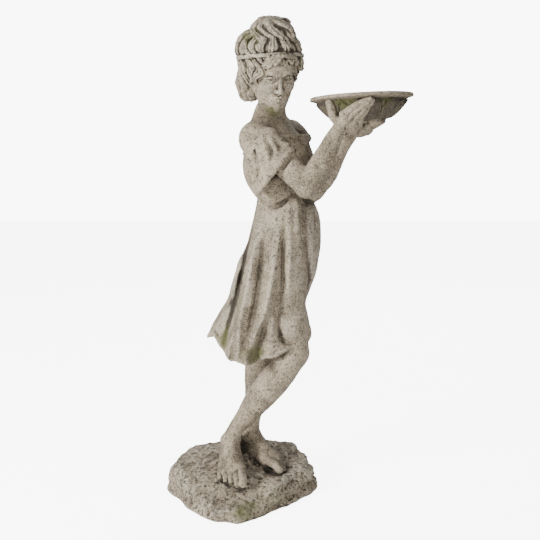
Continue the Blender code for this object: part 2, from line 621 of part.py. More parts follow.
def carve_sleeve(clay):
    """The near sleeve: a wide bell of cloth that hangs to a point under the arm."""
    peak, back = at(60, -88, 764), at(27, -90, 742)
    point, top = at(37, -100, 660), at(97, -102, 736)
    middle, low = at(74, -116, 708), at(55, -114, 684)
    clay.tube([peak, top], mm(15, 9), blend=10 * MM)
    clay.tube([peak, at(84, -112, 724)], mm(16, 9), blend=12 * MM)
    clay.tube([at(46, -92, 754), middle], mm(20, 8), blend=12 * MM)
    clay.tube([at(38, -92, 746), low], mm(21, 9), blend=12 * MM)
    clay.tube([back, at(36, -98, 700), point], mm(17, 15, 7), blend=10 * MM)
    clay.tube([at(46, -70, 730), at(44, -84, 690)], mm(26, 16), blend=10 * MM)
    clay.tube([back + mm(-2, 8, 0), at(30, -88, 700), at(34, -92, 664)], mm(5, 5, 4), blend=4 * MM, smooth=8)
    for line in SLEEVE_RIDGES:
        clay.tube([at(*q) + mm(0, -1.5, 0) for q in line], mm(3, 4.5, 3), blend=6 * MM, smooth=6)
    for line in SLEEVE_CREASES:
        clay.tube([at(*q) + mm(0, 2.5, 0) for q in line], mm(2.5, 4, 4.5, 3), blend=3 * MM, cut=True, smooth=9)
    edge = [at(*q) for q in NECK_EDGE]
    clay.tube(edge, mm(*[3.4] * len(edge)), blend=1.5 * MM, smooth=2 * len(edge))
    clay.tube([at(*q) for q in POUCH_SEAM], mm(3, 5, 6, 6, 6, 4), blend=2 * MM, cut=True, smooth=10)
    along = RIGHT_ELBOW - RIGHT_SHOULDER
    mouth = RIGHT_SHOULDER + 0.60 * along
    clay.tube([mouth + mm(0, 2, -16), mouth - 0.22 * along + mm(0, 2, -26)], mm(17, 10), blend=4 * MM, cut=True)


def carve_sleeve_hem(clay):
    """The hem stands off the arm as a thick rim, with a dark gap between the two."""
    hem = [at(*q) for q in SLEEVE_HEM]
    along = unit(RIGHT_ELBOW - RIGHT_SHOULDER)
    clay.tube([q + 8 * MM * along + mm(0, 5, -1) for q in hem[:-1]], mm(4, 5.5, 6.5, 8), blend=1.5 * MM,
              cut=True, smooth=10)
    clay.tube([q - 9 * MM * along + mm(0, 3, 1) for q in hem], mm(7, 8, 8, 8, 5), blend=6 * MM, smooth=12)
    clay.tube(hem, mm(4.5, 5, 5.2, 5.2, 5), blend=2.5 * MM, smooth=12)


# The head

HEAD = 132 * MM                       # from chin to crown
HEAD_CENTRE = at(66, -26, 894)
TURN, NOD, LEAN = math.radians(18), math.radians(27), math.radians(4)


def head_axes():
    """Rows: towards her left, ahead, and up through the crown."""
    ahead = np.array((math.sin(TURN) * math.cos(NOD), -math.cos(TURN) * math.cos(NOD), -math.sin(NOD)))
    up = unit(np.array((0.0, 0.0, 1.0)) + math.sin(NOD) * ahead)
    left = np.cross(up, ahead)
    return np.array([math.cos(LEAN) * left + math.sin(LEAN) * up, ahead,
                     math.cos(LEAN) * up - math.sin(LEAN) * left])


HEAD_AXES = head_axes()


def face(x, y, z):
    """A point of the head in shares of its height, from its middle."""
    return HEAD_CENTRE + HEAD * (np.array((x, y, z)) @ HEAD_AXES)


def carve_face(clay):
    def lump(x, y, z, rx, ry, rz, blend, cut=False):
        for side in ((-1, 1) if x else (1,)):
            clay.egg(face(side * x, y, z), HEAD * np.array((rx, ry, rz)), HEAD_AXES, HEAD * blend, cut)

    def line(points, radii, blend, mirrored=True, cut=False):
        for side in ((-1, 1) if mirrored else (1,)):
            clay.tube([face(side * x, y, z) for x, y, z in points], HEAD * np.array(radii), HEAD * blend,
                      cut, smooth=3 * len(points))

    lump(0, -0.06, 0.14, 0.335, 0.42, 0.36, 0.05)
    lump(0, 0.10, -0.08, 0.285, 0.275, 0.37, 0.10)
    lump(0, 0.21, -0.38, 0.125, 0.13, 0.105, 0.10)
    line([(0.25, -0.04, -0.18), (0.19, 0.10, -0.31), (0.06, 0.24, -0.41)], [0.07, 0.07, 0.07], 0.10)
    lump(0.16, 0.245, -0.13, 0.10, 0.085, 0.11, 0.07)
    lump(0, 0.27, 0.17, 0.20, 0.09, 0.12, 0.08)
    lump(0.145, 0.410, 0.005, 0.095, 0.090, 0.062, 0.05, cut=True)
    line([(0.05, 0.345, 0.075), (0.14, 0.335, 0.105), (0.235, 0.25, 0.07)], [0.022, 0.026, 0.02], 0.05)
    lump(0.14, 0.262, 0.0, 0.075, 0.068, 0.062, 0.01)
    line([(0.075, 0.318, 0.005), (0.14, 0.345, 0.03), (0.21, 0.285, 0.0)], [0.012, 0.015, 0.012], 0.012)
    line([(0.08, 0.316, -0.02), (0.14, 0.328, -0.04), (0.205, 0.285, -0.015)], [0.010, 0.012, 0.010], 0.010)
    line([(0.085, 0.338, 0.034), (0.145, 0.356, 0.056), (0.215, 0.300, 0.032)], [0.006, 0.008, 0.006], 0.008, cut=True)
    line([(0.085, 0.326, -0.008), (0.14, 0.344, -0.010), (0.20, 0.296, -0.008)], [0.005, 0.007, 0.005], 0.004, cut=True)
    line([(0, 0.33, 0.09), (0, 0.375, -0.02), (0, 0.42, -0.12), (0, 0.435, -0.155)],
         [0.034, 0.030, 0.036, 0.040], 0.035, mirrored=False)
    lump(0.045, 0.385, -0.17, 0.032, 0.038, 0.028, 0.025)
    lump(0.026, 0.415, -0.205, 0.014, 0.02, 0.012, 0.01, cut=True)
    lump(0, 0.30, -0.29, 0.12, 0.075, 0.085, 0.05)
    line([(0, 0.377, -0.272), (0.035, 0.376, -0.265), (0.09, 0.338, -0.288)], [0.016, 0.018, 0.008], 0.010)
    line([(0, 0.370, -0.320), (0.04, 0.362, -0.315), (0.085, 0.336, -0.296)], [0.022, 0.019, 0.008], 0.012)
    line([(-0.10, 0.350, -0.288), (-0.04, 0.390, -0.292), (0, 0.394, -0.295), (0.04, 0.390, -0.292),
          (0.10, 0.350, -0.288)], [0.006, 0.008, 0.008, 0.008, 0.006], 0.006, mirrored=False, cut=True)
    line([(0, 0.392, -0.215), (0, 0.386, -0.25)], [0.008, 0.008], 0.012, mirrored=False, cut=True)
    lump(0, 0.345, -0.435, 0.062, 0.045, 0.05, 0.05)


# Masses of hair, in shares of the head: middle, half sizes, locks round, their sweep round and wave, relief
HAIR = ((-0.01, -0.15, 0.13), (0.485, 0.50, 0.43), 19, 1.6, 0.6, 0.12)
KNOT = ((0.0, -0.15, 0.525), (0.32, 0.31, 0.22), 8, 1.3, 0.22, 0.17)
NAPE = ((-0.22, -0.40, -0.31), (0.22, 0.19, 0.33), 9, 0.8, 0.35, 0.15)
FRONT_ROLL = 0.10
BACK_ROLL = 0.15          # the hair stands fuller behind her right ear, below the knot
BAND_HEIGHT, BAND_SLOPE = 0.225, 0.45        # the plane of the hair band: level at the middle, rise per depth
BAND_HALF_WIDTH, BAND_LIFT = 0.026, 0.05


HAIR_NOISE = Noise(12)


def in_head(p):
    return (p - HEAD_CENTRE) @ HEAD_AXES.T / HEAD


def band_offset(q):
    """How far a point of the head lies above the band's plane."""
    return (q[:, 2] - BAND_HEIGHT - BAND_SLOPE * q[:, 1]) / math.hypot(1.0, BAND_SLOPE)


def lock_ridges(theta, rise, count, sweep, wave):
    """0 in the grooves between wavy locks, 1 along their tops."""
    phase = theta * count / math.tau + sweep * rise + wave * np.sin(4.6 * rise + 1.6 * np.sin(2.0 * theta))
    phase += 0.27 * wave * np.sin(8.0 * rise + 3.0 * theta)
    return 1.0 - (2.0 * (phase % 1.0) - 1.0) ** 2, np.floor(phase) % count


def hair_distance(p, form, with_band):
    centre, radii, count, sweep, wave, relief = form
    q = in_head(p)
    v = (q - centre) / radii
    k0 = np.sqrt((v * v).sum(1)) + 1e-9
    theta = np.arctan2(v[:, 0], v[:, 1]) + 0.13 * HAIR_NOISE(p, 0.24 * HEAD)
    rise = np.arcsin(np.clip(v[:, 2] / k0, -1.0, 1.0))
    ridge, lock = lock_ridges(theta, rise, count, sweep, wave)
    full = smooth_step(0.10, 0.65, np.cos(rise))
    swell = 1.0 + 0.35 * np.sin(lock * 2.4)
    reach = 1.0 + relief * full * (swell * ridge - 0.6)
    size = min(radii) * HEAD * 0.85
    if not with_band:
        return (k0 - reach) * size
    above = band_offset(q)
    smooth = 1.0 + FRONT_ROLL * np.exp(-(theta / 1.1) ** 2) * smooth_step(0.02, 0.14, above)
    round_back = (theta + 1.9 + math.pi) % math.tau - math.pi
    smooth += BACK_ROLL * np.exp(-round_back ** 2 - ((rise - 0.75) / 0.45) ** 2)
    sunk = 0.07 * np.exp(-(above / 0.05) ** 2)
    hair = (k0 - reach - (smooth - 1.0) + sunk) * size
    band = both((k0 - 1.0 - BAND_LIFT) * size, (abs(above) - BAND_HALF_WIDTH) * HEAD, 0.012 * HEAD)
    return blended(hair, band, 0.01 * HEAD)


def carve_hair(clay):
    for form, blend in ((HAIR, 0.02), (KNOT, 0.035), (NAPE, 0.05)):
        reach = 1.25 * max(form[1]) * HEAD
        middle = face(*form[0])
        clay.lay(lambda p, form=form: hair_distance(p, form, form is HAIR), middle - reach, middle + reach,
                 HEAD * blend)
    carve_fringe(clay)


def brow(x, z):
    """How far ahead the brow's surface stands, in shares of the head."""
    return -0.06 + 0.42 * math.sqrt(max(0.05, 1.0 - (x / 0.335) ** 2 - ((z - 0.14) / 0.36) ** 2))


PARTING = 0.04
FRINGE = ((0.10, 0.245), (0.195, 0.20), (0.275, 0.13), (0.325, 0.04))    # where the locks end


def lock(clay, spots, thick, blend=0.01):
    clay.tube([face(*s) for s in spots], HEAD * np.array(thick), HEAD * blend, smooth=2 * (len(spots) - 1))


def carve_fringe(clay):
    """Locks that sweep from the parting over the brow, each ending in a curl."""
    for side in (-1, 1):
        for i, (x, z) in enumerate(FRINGE):
            root = PARTING + side * (0.02 + 0.065 * i)
            end = PARTING + side * x
            top = BAND_HEIGHT + BAND_SLOPE * brow(root, 0.26) - 0.02
            middle = (0.55 * root + 0.45 * end, 0.45 * top + 0.55 * (z + 0.07))
            spots = [(root, brow(root, 0.28) + 0.03, top),
                     (middle[0], brow(*middle) + 0.05, middle[1]),
                     (end - side * 0.012, brow(end, z + 0.03) + 0.045, z + 0.035),
                     (end + side * 0.03, brow(end, z) + 0.035, z - 0.005),
                     (end + side * 0.052, brow(end, z) + 0.02, z + 0.03)]
            lock(clay, spots, [0.034, 0.044, 0.038, 0.028, 0.018], 0.008)
        for i in range(3):
            x = side * (0.335 + 0.022 * i)
            y = 0.06 - 0.08 * i
            spots = [(x * 0.95, y + 0.05, 0.16), (x * 1.06, y + 0.03 * math.sin(2 * i), 0.05),
                     (x * 1.00, y + 0.01, -0.06), (x * 1.05, y - 0.02, -0.15 - 0.04 * (i % 2))]
            lock(clay, spots, [0.04, 0.044, 0.040, 0.018])


def figure_clay():
    clay = Clay()
    carve_rock(clay)
    carve_skirt(clay)
    carve_leg(clay, LEFT_THIGH, LEFT_SHIN)
    carve_leg(clay, RIGHT_THIGH, RIGHT_SHIN)
    carve_foot(clay, at(19, 69, 108), (0.76, -0.65), 9.0, -1)
    carve_foot(clay, at(-26, 16, 116), (0.10, -1.0), 15.0, 1)
    carve_torso(clay)
    carve_bodice(clay)
    carve_arm(clay, LEFT_SHOULDER, LEFT_ELBOW, LEFT_WRIST, mm(4, 0, 0))
    carve_sleeve(clay)
    carve_arm(clay, RIGHT_SHOULDER, RIGHT_ELBOW, RIGHT_WRIST, mm(3, -2, -3), blend=3)
    carve_sleeve_hem(clay)
    carve_left_hand(clay)
    carve_right_hand(clay)
    carve_face(clay)
    carve_hair(clay)
    return clay


# From clay to a mesh

PATCH = 4                            # cells along a patch
BLOCK = 3 * PATCH                    # cells along a block, which shares one list of strokes


def sampled(clay, cell):
    """Distances on a grid: exact in patches near the surface, and only inside or outside away from it."""
    low = np.min([s[1] for s in clay.strokes if not s[4]], axis=0) - 3 * cell
    high = np.max([s[2] for s in clay.strokes if not s[4]], axis=0) + 3 * cell
    blocks = np.ceil((high - low) / cell / BLOCK).astype(int)
    grid = np.ones(blocks * BLOCK, np.float32)
    size, patch = BLOCK * cell, PATCH * cell
    steps = np.stack(np.meshgrid(*[np.arange(PATCH)] * 3, indexing="ij"), -1).reshape(-1, 3)
    patches = np.stack(np.meshgrid(*[np.arange(3)] * 3, indexing="ij"), -1).reshape(-1, 3)
    for index in itertools.product(*[range(n) for n in blocks]):
        corner = low + np.array(index) * size
        nearby = clay.near(corner - cell, corner + size + cell)
        if not nearby:
            continue
        deep = Clay.measure(nearby, corner + (patches + 0.5) * patch)
        first = np.array(index) * BLOCK
        whole = grid[tuple(slice(a, a + BLOCK) for a in first)]
        whole[...] = np.sign(deep).reshape(3, 3, 3).repeat(PATCH, 0).repeat(PATCH, 1).repeat(PATCH, 2)
        active = patches[abs(deep) < 1.5 * patch]
        if len(active):
            cells = (active[:, None] * PATCH + steps).reshape(-1, 3)
            whole[tuple(cells.T)] = Clay.measure(nearby, corner + cells * cell)
    grid[np.abs(grid) < 1e-7] = 1e-7
    return grid, low


def skinned(grid, low, cell):
    """The closed surface where the grid changes sign: each cell is split into six tetrahedra."""
    shape = np.array(grid.shape)
    inside = grid < 0
    mixed = np.zeros(shape - 1, np.int8)
    corners = list(itertools.product((0, 1), repeat=3))
    for c in corners:
        mixed += inside[tuple(slice(o, n - 1 + o) for o, n in zip(c, shape))]
    cells = np.argwhere((mixed > 0) & (mixed < 8))
    strides = np.array((shape[1] * shape[2], shape[2], 1))
    values = grid.ravel()
    triangles, tails = [], []
    for order in itertools.permutations(range(3)):
        path = [np.zeros(3, int)]
        for axis in order:
            path.append(path[-1] + np.eye(3, dtype=int)[axis])
        ids = np.stack([(cells + p) @ strides for p in path], 1)
        level = values[ids] < 0
        count = level.sum(1)
        for wanted in (1, 2, 3):
            rows = np.flatnonzero(count == wanted)
            if not len(rows):
                continue
            sort = np.argsort(~level[rows], axis=1, kind="stable")
            tet = np.take_along_axis(ids[rows], sort, 1)
            if wanted == 1:
                found = [((0, 1), (0, 2), (0, 3))]
            elif wanted == 3:
                found = [((0, 3), (1, 3), (2, 3))]
            else:
                found = [((0, 2), (0, 3), (1, 3)), ((0, 2), (1, 3), (1, 2))]
            for tri in found:
                triangles.append(np.stack([np.stack([tet[:, a], tet[:, b]], 1) for a, b in tri], 1))
                tails.append(np.stack([tet[:, 0], tet[:, 3]], 1))
    triangles, tails = np.concatenate(triangles), np.concatenate(tails)
    ends = np.sort(triangles.reshape(-1, 2), axis=1)
    keys, faces = np.unique(ends[:, 0] * np.int64(values.size) + ends[:, 1], return_inverse=True)
    first, second = keys // values.size, keys % values.size

    def place(ids):
        return np.stack(np.unravel_index(ids, grid.shape), -1)
    share = (values[first] / (values[first] - values[second]))[:, None]
    share = np.clip(share, 0.02, 0.98)
    points = low + cell * (place(first) * (1.0 - share) + place(second) * share)
    faces = faces.reshape(-1, 3)
    outward = place(tails[:, 1]) - place(tails[:, 0])
    a, b, c = points[faces[:, 0]], points[faces[:, 1]], points[faces[:, 2]]
    flip = (np.cross(b - a, c - a) * outward).sum(1) < 0
    faces[flip] = faces[flip][:, ::-1]
    return points, faces


def mesh_of(name, points, faces):
    mesh = bpy.data.meshes.new(name)
    mesh.from_pydata(points.tolist(), [], faces.tolist())
    mesh.validate()
    return mesh


def flat_bottom(mesh):
    """Cuts the rock off flat at the ground and closes it with one face."""
    bm = bmesh.new()
    bm.from_mesh(mesh)
    everything = bm.verts[:] + bm.edges[:] + bm.faces[:]
    cut = bmesh.ops.bisect_plane(bm, geom=everything, plane_co=(0, 0, 0), plane_no=(0, 0, 1), clear_inner=True)
    rim = [e for e in cut["geom_cut"] if isinstance(e, bmesh.types.BMEdge)]
    for e in rim:
        for v in e.verts:
            v.co.z = 0.0
    bmesh.ops.holes_fill(bm, edges=[e for e in bm.edges if e.is_boundary])
    bmesh.ops.recalc_face_normals(bm, faces=bm.faces)
    bm.to_mesh(mesh)
    bm.free()


def make_figure(material, seat):
    grid, low = sampled(figure_clay(), CELL)
    points, faces = skinned(grid, low, CELL)
    figure = object_of("figure_on_rock", mesh_of("figure_on_rock", points, faces), material)
    thin = figure.modifiers.new("Fewer faces", "DECIMATE")
    thin.ratio = FIGURE_TRIANGLES / len(faces)
    bpy.context.view_layer.update()
    reduced = bpy.data.meshes.new_from_object(figure.evaluated_get(bpy.context.evaluated_depsgraph_get()))
    figure.modifiers.clear()
    flat_bottom(reduced)
    figure.data = reduced
    cut = figure.modifiers.new("Seat for the bowl", "BOOLEAN")
    cut.operation = "DIFFERENCE"
    cut.object = seat
    cut.use_self = True
    figure.data.shade_smooth()
    return figure


def main():
    for obj in list(bpy.data.objects):
        bpy.data.objects.remove(obj)
    material = stone("weathered cast stone")
    make_bowl(material)
    make_figure(material, make_seat())


main()
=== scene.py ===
# Garden bird bath statue in weathered cast stone: a girl on a rock who holds out a flared bowl in both hands.
# The figure is carved from strokes of clay, each a signed distance, and skinned. The bowl is turned by nodes.

import itertools
import math

import bmesh
import bpy
import numpy as np
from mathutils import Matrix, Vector


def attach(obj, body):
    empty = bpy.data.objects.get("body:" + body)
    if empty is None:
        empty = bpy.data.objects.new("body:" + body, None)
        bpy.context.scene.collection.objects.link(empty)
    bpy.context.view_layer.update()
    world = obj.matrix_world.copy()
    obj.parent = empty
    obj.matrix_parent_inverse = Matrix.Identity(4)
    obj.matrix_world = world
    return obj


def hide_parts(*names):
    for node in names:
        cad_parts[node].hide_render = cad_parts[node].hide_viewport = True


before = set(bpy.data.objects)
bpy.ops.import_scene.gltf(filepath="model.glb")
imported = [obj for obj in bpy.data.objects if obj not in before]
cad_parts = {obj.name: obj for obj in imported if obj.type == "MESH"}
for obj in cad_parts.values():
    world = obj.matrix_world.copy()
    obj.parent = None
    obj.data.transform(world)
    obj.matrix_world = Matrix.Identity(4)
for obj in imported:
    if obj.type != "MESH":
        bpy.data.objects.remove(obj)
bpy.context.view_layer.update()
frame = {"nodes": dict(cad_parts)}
print("frame loaded:", ", ".join(frame["nodes"]))

# metres; the same driving sizes as the solids
figure = {
    "height": 0.945,            # soles to the top of the hair
    "armThickness": 1.0,
    "foldDepth": 1.3,
    "backFolds": 9,
    "cell": 0.0022,             # spacing of the samples
    "triangles": 87000,         # before the head, hands and feet get finer
    "weathering": 0.00045,      # how deep the skin of the stone is worn
    "pitting": 0.00070,
    "curls": 0.0016,
}
rock = {"width": 0.330, "depth": 0.310, "height": 0.055, "roughness": 0.0014}
bowl = {
    "diameter": 0.202,
    "depth": 0.055,
    "wall": 0.008,
    "lip": 0.006,
    "flare": 0.0165,
    "flareDrop": 0.012,
    "footRadius": 0.032,
    "footHeight": 0.005,
    "tilt": math.radians(2.7),
    "petals": 16,
    "petalRelief": 0.0070,
    "segments": 608,
    "rows": 150,
    "wear": 0.0006,
}
mmScale = figure["height"] / 945.0             # the pose is drawn in millimetres on a figure 945 high
zeroHeight = rock["height"] - 55.0 * mmScale   # with its soles at 55


# clay

# a point of the pose, drawn in millimetres, as it stands on the rock
def at(x, y, z):
    return np.array((x * mmScale, y * mmScale, zeroHeight + z * mmScale))


def unit(v):
    v = np.asarray(v, float)
    return v / np.linalg.norm(v)


def smoothStep(low, high, value):
    t = np.clip((value - low) / (high - low), 0.0, 1.0)
    return t * t * (3.0 - 2.0 * t)


# catmull-Rom curve through the points, as count + 1 points in even steps of the parameter
def curveThrough(points, count):
    points = np.asarray(points, float)
    padded = np.vstack([2 * points[0] - points[1], points, 2 * points[-1] - points[-2]])
    out = []
    for s in np.linspace(0.0, len(points) - 1.0, count + 1):
        i = min(int(s), len(points) - 2)
        t = s - i
        a, b, c, d = padded[i:i + 4]
        out.append(0.5 * (2 * b + (c - a) * t + (2 * a - 5 * b + 4 * c - d) * t * t
                          + (3 * b - 3 * c + d - a) * t ** 3))
    return np.array(out)


# smooth value noise on a wrapping lattice of fixed random numbers
class Noise:
    size = 32

    def __init__(self, seed):
        self.table = np.random.default_rng(seed).uniform(-1.0, 1.0, (self.size,) * 3)

    def __call__(self, points, scale):
        q = points / scale
        low = np.floor(q).astype(int)
        t = q - low
        t = t * t * (3.0 - 2.0 * t)
        total = 0.0
        for corner in itertools.product((0, 1), repeat=3):
            weight = np.prod(np.where(corner, t, 1.0 - t), axis=1)
            index = (low + corner) % self.size
            total = total + weight * self.table[index[:, 0], index[:, 1], index[:, 2]]
        return total


# strokes of clay laid on or cut away in order, each blended softly into what is there
class Clay:

    def __init__(self):
        self.strokes = []

    def lay(self, distance, low, high, blend=0.0, cut=False):
        self.strokes.append((distance, np.asarray(low), np.asarray(high), blend, cut))

    # a limb along points, its radius changing from one to the next. flat is (direction, share)
    def tube(self, points, radii, blend=0.0, cut=False, flat=None, smooth=0):
        points, radii = np.asarray(points, float), np.asarray(radii, float)
        if smooth:
            both = curveThrough(np.column_stack([points, radii]), smooth)
            points, radii = both[:, :3], both[:, 3]
        start, step = points[:-1], np.diff(points, axis=0)
        length2 = np.maximum((step ** 2).sum(1), 1e-12)
        across, share = (unit(flat[0]), flat[1]) if flat else (None, 1.0)

        def distance(p):
            best = np.full(len(p), 1e3)
            for a, d, l2, r0, r1 in zip(start, step, length2, radii[:-1], radii[1:]):
                v = p - a
                t = np.clip(v @ d / l2, 0.0, 1.0)
                v = v - t[:, None] * d
                if across is not None:
                    v = v + (1.0 / share - 1.0) * (v @ across)[:, None] * across
                best = np.minimum(best, np.sqrt((v * v).sum(1)) - (r0 + (r1 - r0) * t))
            return best
        reach = radii.max()
        self.lay(distance, points.min(0) - reach, points.max(0) + reach, blend, cut)

    def egg(self, centre, radii, axes=None, blend=0.0, cut=False):
        centre, radii = np.asarray(centre, float), np.asarray(radii, float)
        axes = np.eye(3) if axes is None else np.asarray(axes, float)

        def distance(p):
            q = (p - centre) @ axes.T / radii
            k0 = np.sqrt((q * q).sum(1))
            k1 = np.sqrt(((q / radii) ** 2).sum(1))
            return k0 * (k0 - 1.0) / np.maximum(k1, 1e-9)
        reach = radii.max()
        self.lay(distance, centre - reach, centre + reach, blend, cut)

    # the strokes that can change the surface inside a box
    def near(self, low, high):
        return [s for s in self.strokes
                if np.all(s[1] - s[3] <= high) and np.all(s[2] + s[3] >= low)]

    @staticmethod
    def measure(strokes, points):
        total = np.full(len(points), 1.0)
        for distance, _, _, blend, cut in strokes:
            d = distance(points)
            if cut:
                total = -blended(-total, d, blend)
            else:
                total = blended(total, d, blend)
        return total


# the smaller distance, rounded where the two are alike
def blended(a, b, blend):
    if blend <= 0.0:
        return np.minimum(a, b)
    h = np.clip(0.5 + 0.5 * (b - a) / blend, 0.0, 1.0)
    return b + (a - b) * h - blend * h * (1.0 - h)


# the larger distance, rounded: what lies in both forms
def both(a, b, blend):
    return -blended(-a, -b, blend)


# bowl form, which the hands follow

rimRadius = bowl["diameter"] / 2
bodyRadius = rimRadius - bowl["flare"]
bodyEnd = bowl["depth"] - bowl["footHeight"]
bowlCentre = at(239, -41, 845)


# outer radius of the bowl, this far below its rim: a flared lip, then a body like a parabola
def bowlRadius(drop):
    if drop < bowl["flareDrop"]:
        t = (drop - bowl["lip"]) / (bowl["flareDrop"] - bowl["lip"])
        return bodyRadius + bowl["flare"] * (1.0 - min(max(t, 0.0), 1.0)) ** 1.6
    t = min((drop - bowl["flareDrop"]) / (bodyEnd - bowl["flareDrop"]), 1.0)
    return bowl["footRadius"] + (bodyRadius - bowl["footRadius"]) * math.sqrt(1.0 - t)


# a vector of the level bowl, turned as the bowl is tilted
def tilted(v):
    c, s = math.cos(bowl["tilt"]), math.sin(bowl["tilt"])
    return np.array((v[0] * c - v[2] * s, v[1], v[0] * s + v[2] * c))


# a point that stands out millimetres off the bowl's outer wall; angle in degrees from +X, drop a
# share of the bowl's depth
def onBowl(angle, drop, out):
    a, depth = math.radians(angle), drop * bowl["depth"]
    slope = (bowlRadius(depth + 1e-3) - bowlRadius(depth - 1e-3)) / 2e-3
    normal = unit((math.cos(a), math.sin(a), slope))
    r = bowlRadius(depth)
    return bowlCentre + tilted((r * math.cos(a), r * math.sin(a), -depth)) + tilted(normal) * out * mmScale


# rock

rockNoise = Noise(11)
rockOutline = ((-8, -136), (-50, -130), (-74, -108), (-122, -52), (-142, -20), (-165, 22), (-150, 88),
                (-96, 148), (-20, 174), (70, 168), (134, 116), (160, 60), (163, 16), (146, -6), (66, -86),
                (20, -126))


# a point of the rock's plan, drawn in millimetres on a rock 330 by 310
def rockPoint(x, y):
    return np.array((x * rock["width"] / 330.0, y * rock["depth"] / 310.0))


# signed distance to a closed outline in plan
def planDistance(p, corners):
    best = np.full(len(p), 1e9)
    inside = np.zeros(len(p), bool)
    for a, b in zip(corners, np.roll(corners, -1, axis=0)):
        d, v = b - a, p - a
        t = np.clip(v @ d / (d @ d), 0.0, 1.0)
        best = np.minimum(best, ((v - t[:, None] * d) ** 2).sum(1))
        crosses = (a[1] > p[:, 1]) != (b[1] > p[:, 1])
        rise = (p[:, 1] - a[1]) / np.where(abs(b[1] - a[1]) < 1e-9, 1e-9, b[1] - a[1])
        inside ^= crosses & (p[:, 0] < a[0] + rise * (b[0] - a[0]))
    return np.sqrt(best) * np.where(inside, -1.0, 1.0)


# height of the rock's top: low in front, rising to where the feet stand, with a hollow for the back
# foot
def rockTop(p):
    x, y = p[:, 0] / rock["width"], p[:, 1] / rock["depth"]
    rise = smoothStep(-0.52, 0.16, y) - 0.25 * smoothStep(0.28, 0.6, y)
    side = 1.0 - 2.0 * x * x
    hollow = 0.24 * np.exp(-((x - 0.21) ** 2 + (y - 0.03) ** 2) / 0.020)
    lump = 0.10 * np.exp(-((x - 0.24) ** 2 + (y - 0.33) ** 2) / 0.02)
    return rock["height"] * (0.38 + 1.0 * rise * side - hollow + lump)


rockCorners = np.array([rockPoint(*c) for c in rockOutline])


def rockDistance(p):
    rough = 0.0045 * rockNoise(p, 0.036) + 0.003 * abs(rockNoise(p + 0.4, 0.022)) - 0.001
    side = planDistance(p[:, :2], rockCorners) + 0.16 * p[:, 2] + 1.2 * rough
    ledge = 0.007 * np.sin((p[:, 2] - 0.30 * p[:, 0] + 0.1 * p[:, 1]) / 0.0042) * smoothStep(-0.02, 0.06, p[:, 0])
    top = (p[:, 2] - rockTop(p)) * 0.85 + rough
    return both(side + 0.5 * ledge, top + 0.25 * ledge, 0.010)


def carveRock(clay):
    low = (*(rockCorners.min(0) - 0.01), -0.02)
    high = (*(rockCorners.max(0) + 0.01), rock["height"] * 1.8)
    clay.lay(rockDistance, low, high)


# body, dress, head

chestAhead = unit((0.88, -0.47, 0.0))      # the way her chest faces
chestSide = unit((-0.47, -0.88, 0.0))      # towards her right hand
bodyAxes = np.array([chestAhead, chestSide, (0.0, 0.0, 1.0)])

rightShoulder = at(30, -72, 764)
leftShoulder = at(106, 68, 770)
rightElbow = at(130, -108, 672)
leftElbow = at(146, -26, 661)
rightWrist = onBowl(229, 0.98, 35)
leftWrist = bowlCentre + tilted((-29 * mmScale, -6 * mmScale, -bowl["depth"] - 25 * mmScale))


def mm(*sizes):
    return np.array(sizes) * mmScale


def carveTorso(clay):
    clay.egg(at(66, -3, 722), mm(50, 66, 88), bodyAxes, blend=0.01)
    clay.tube([rightShoulder, at(60, -4, 778), leftShoulder], mm(26, 30, 25), blend=20 * mmScale)
    clay.tube([at(36, -56, 782), at(54, -6, 808), at(96, 46, 784)], mm(16, 24, 15), blend=18 * mmScale)
    clay.tube([at(56, -2, 778), at(61, -9, 812), at(67, -16, 848)], mm(36, 29, 26), blend=16 * mmScale)
    clay.egg(rightShoulder + mm(-1, -4, -6), mm(28, 28, 32), blend=14 * mmScale)
    for x, y in ((92, -46), (116, -2)):
        clay.egg(at(x, y, 724), mm(27, 27, 26), bodyAxes, blend=16 * mmScale)
    clay.egg(at(90, -22, 746), mm(36, 50, 36), bodyAxes, blend=16 * mmScale)
    clay.egg(at(97, -10, 744), mm(33, 46, 25), bodyAxes, blend=14 * mmScale)


def carveArm(clay, shoulder, elbow, wrist, outer, blend=10):
    thick = figure["armThickness"]
    clay.tube([shoulder, (shoulder + elbow) / 2 + mm(0, 0, 3), elbow],
              mm(26, 26, 22) * thick, blend=blend * mmScale, smooth=6)
    along = wrist - elbow
    clay.tube([elbow, elbow + 0.3 * along + outer, elbow + 0.7 * along, wrist],
              mm(23, 24, 17.5, 13) * thick, blend=8 * mmScale, smooth=8)


# the near hand: a flat grip along the bowl's wall, thumb up to the rim
def carveRightHand(clay):
    heel = onBowl(232, 0.88, 15)
    clay.tube([rightWrist, heel], mm(13, 13), blend=6 * mmScale)
    rows = (((236, 0.56), (273, 0.15), 7.0), ((241, 0.68), (276, 0.20), 7.2),
            ((247, 0.80), (275, 0.31), 7.0), ((254, 0.90), (271.5, 0.46), 6.2))
    for (angle, drop), (tipAngle, tipDrop), thick in rows:
        knuckle = onBowl(angle, drop, thick + 3.0)
        clay.tube([heel, knuckle], mm(12, thick + 1.4), blend=7 * mmScale)
        steps = [onBowl(angle + (tipAngle - angle) * t, drop + (tipDrop - drop) * t, thick + lift)
                 for t, lift in ((0.0, 1.5), (0.34, 2.2), (0.66, 0.6), (0.88, -1.0), (1.0, -1.5))]
        clay.tube(steps, mm(thick, thick, thick * 0.94, thick * 0.86, thick * 0.7), blend=1.2 * mmScale)
    thumb = [onBowl(212, 0.88, 13), onBowl(217, 0.62, 9.5), onBowl(220, 0.36, 7.5), onBowl(221, 0.17, 5.5)]
    clay.tube([heel, thumb[0]], mm(12, 10), blend=7 * mmScale)
    clay.tube(thumb, mm(10, 9.5, 8, 6.5), blend=6 * mmScale, smooth=6)


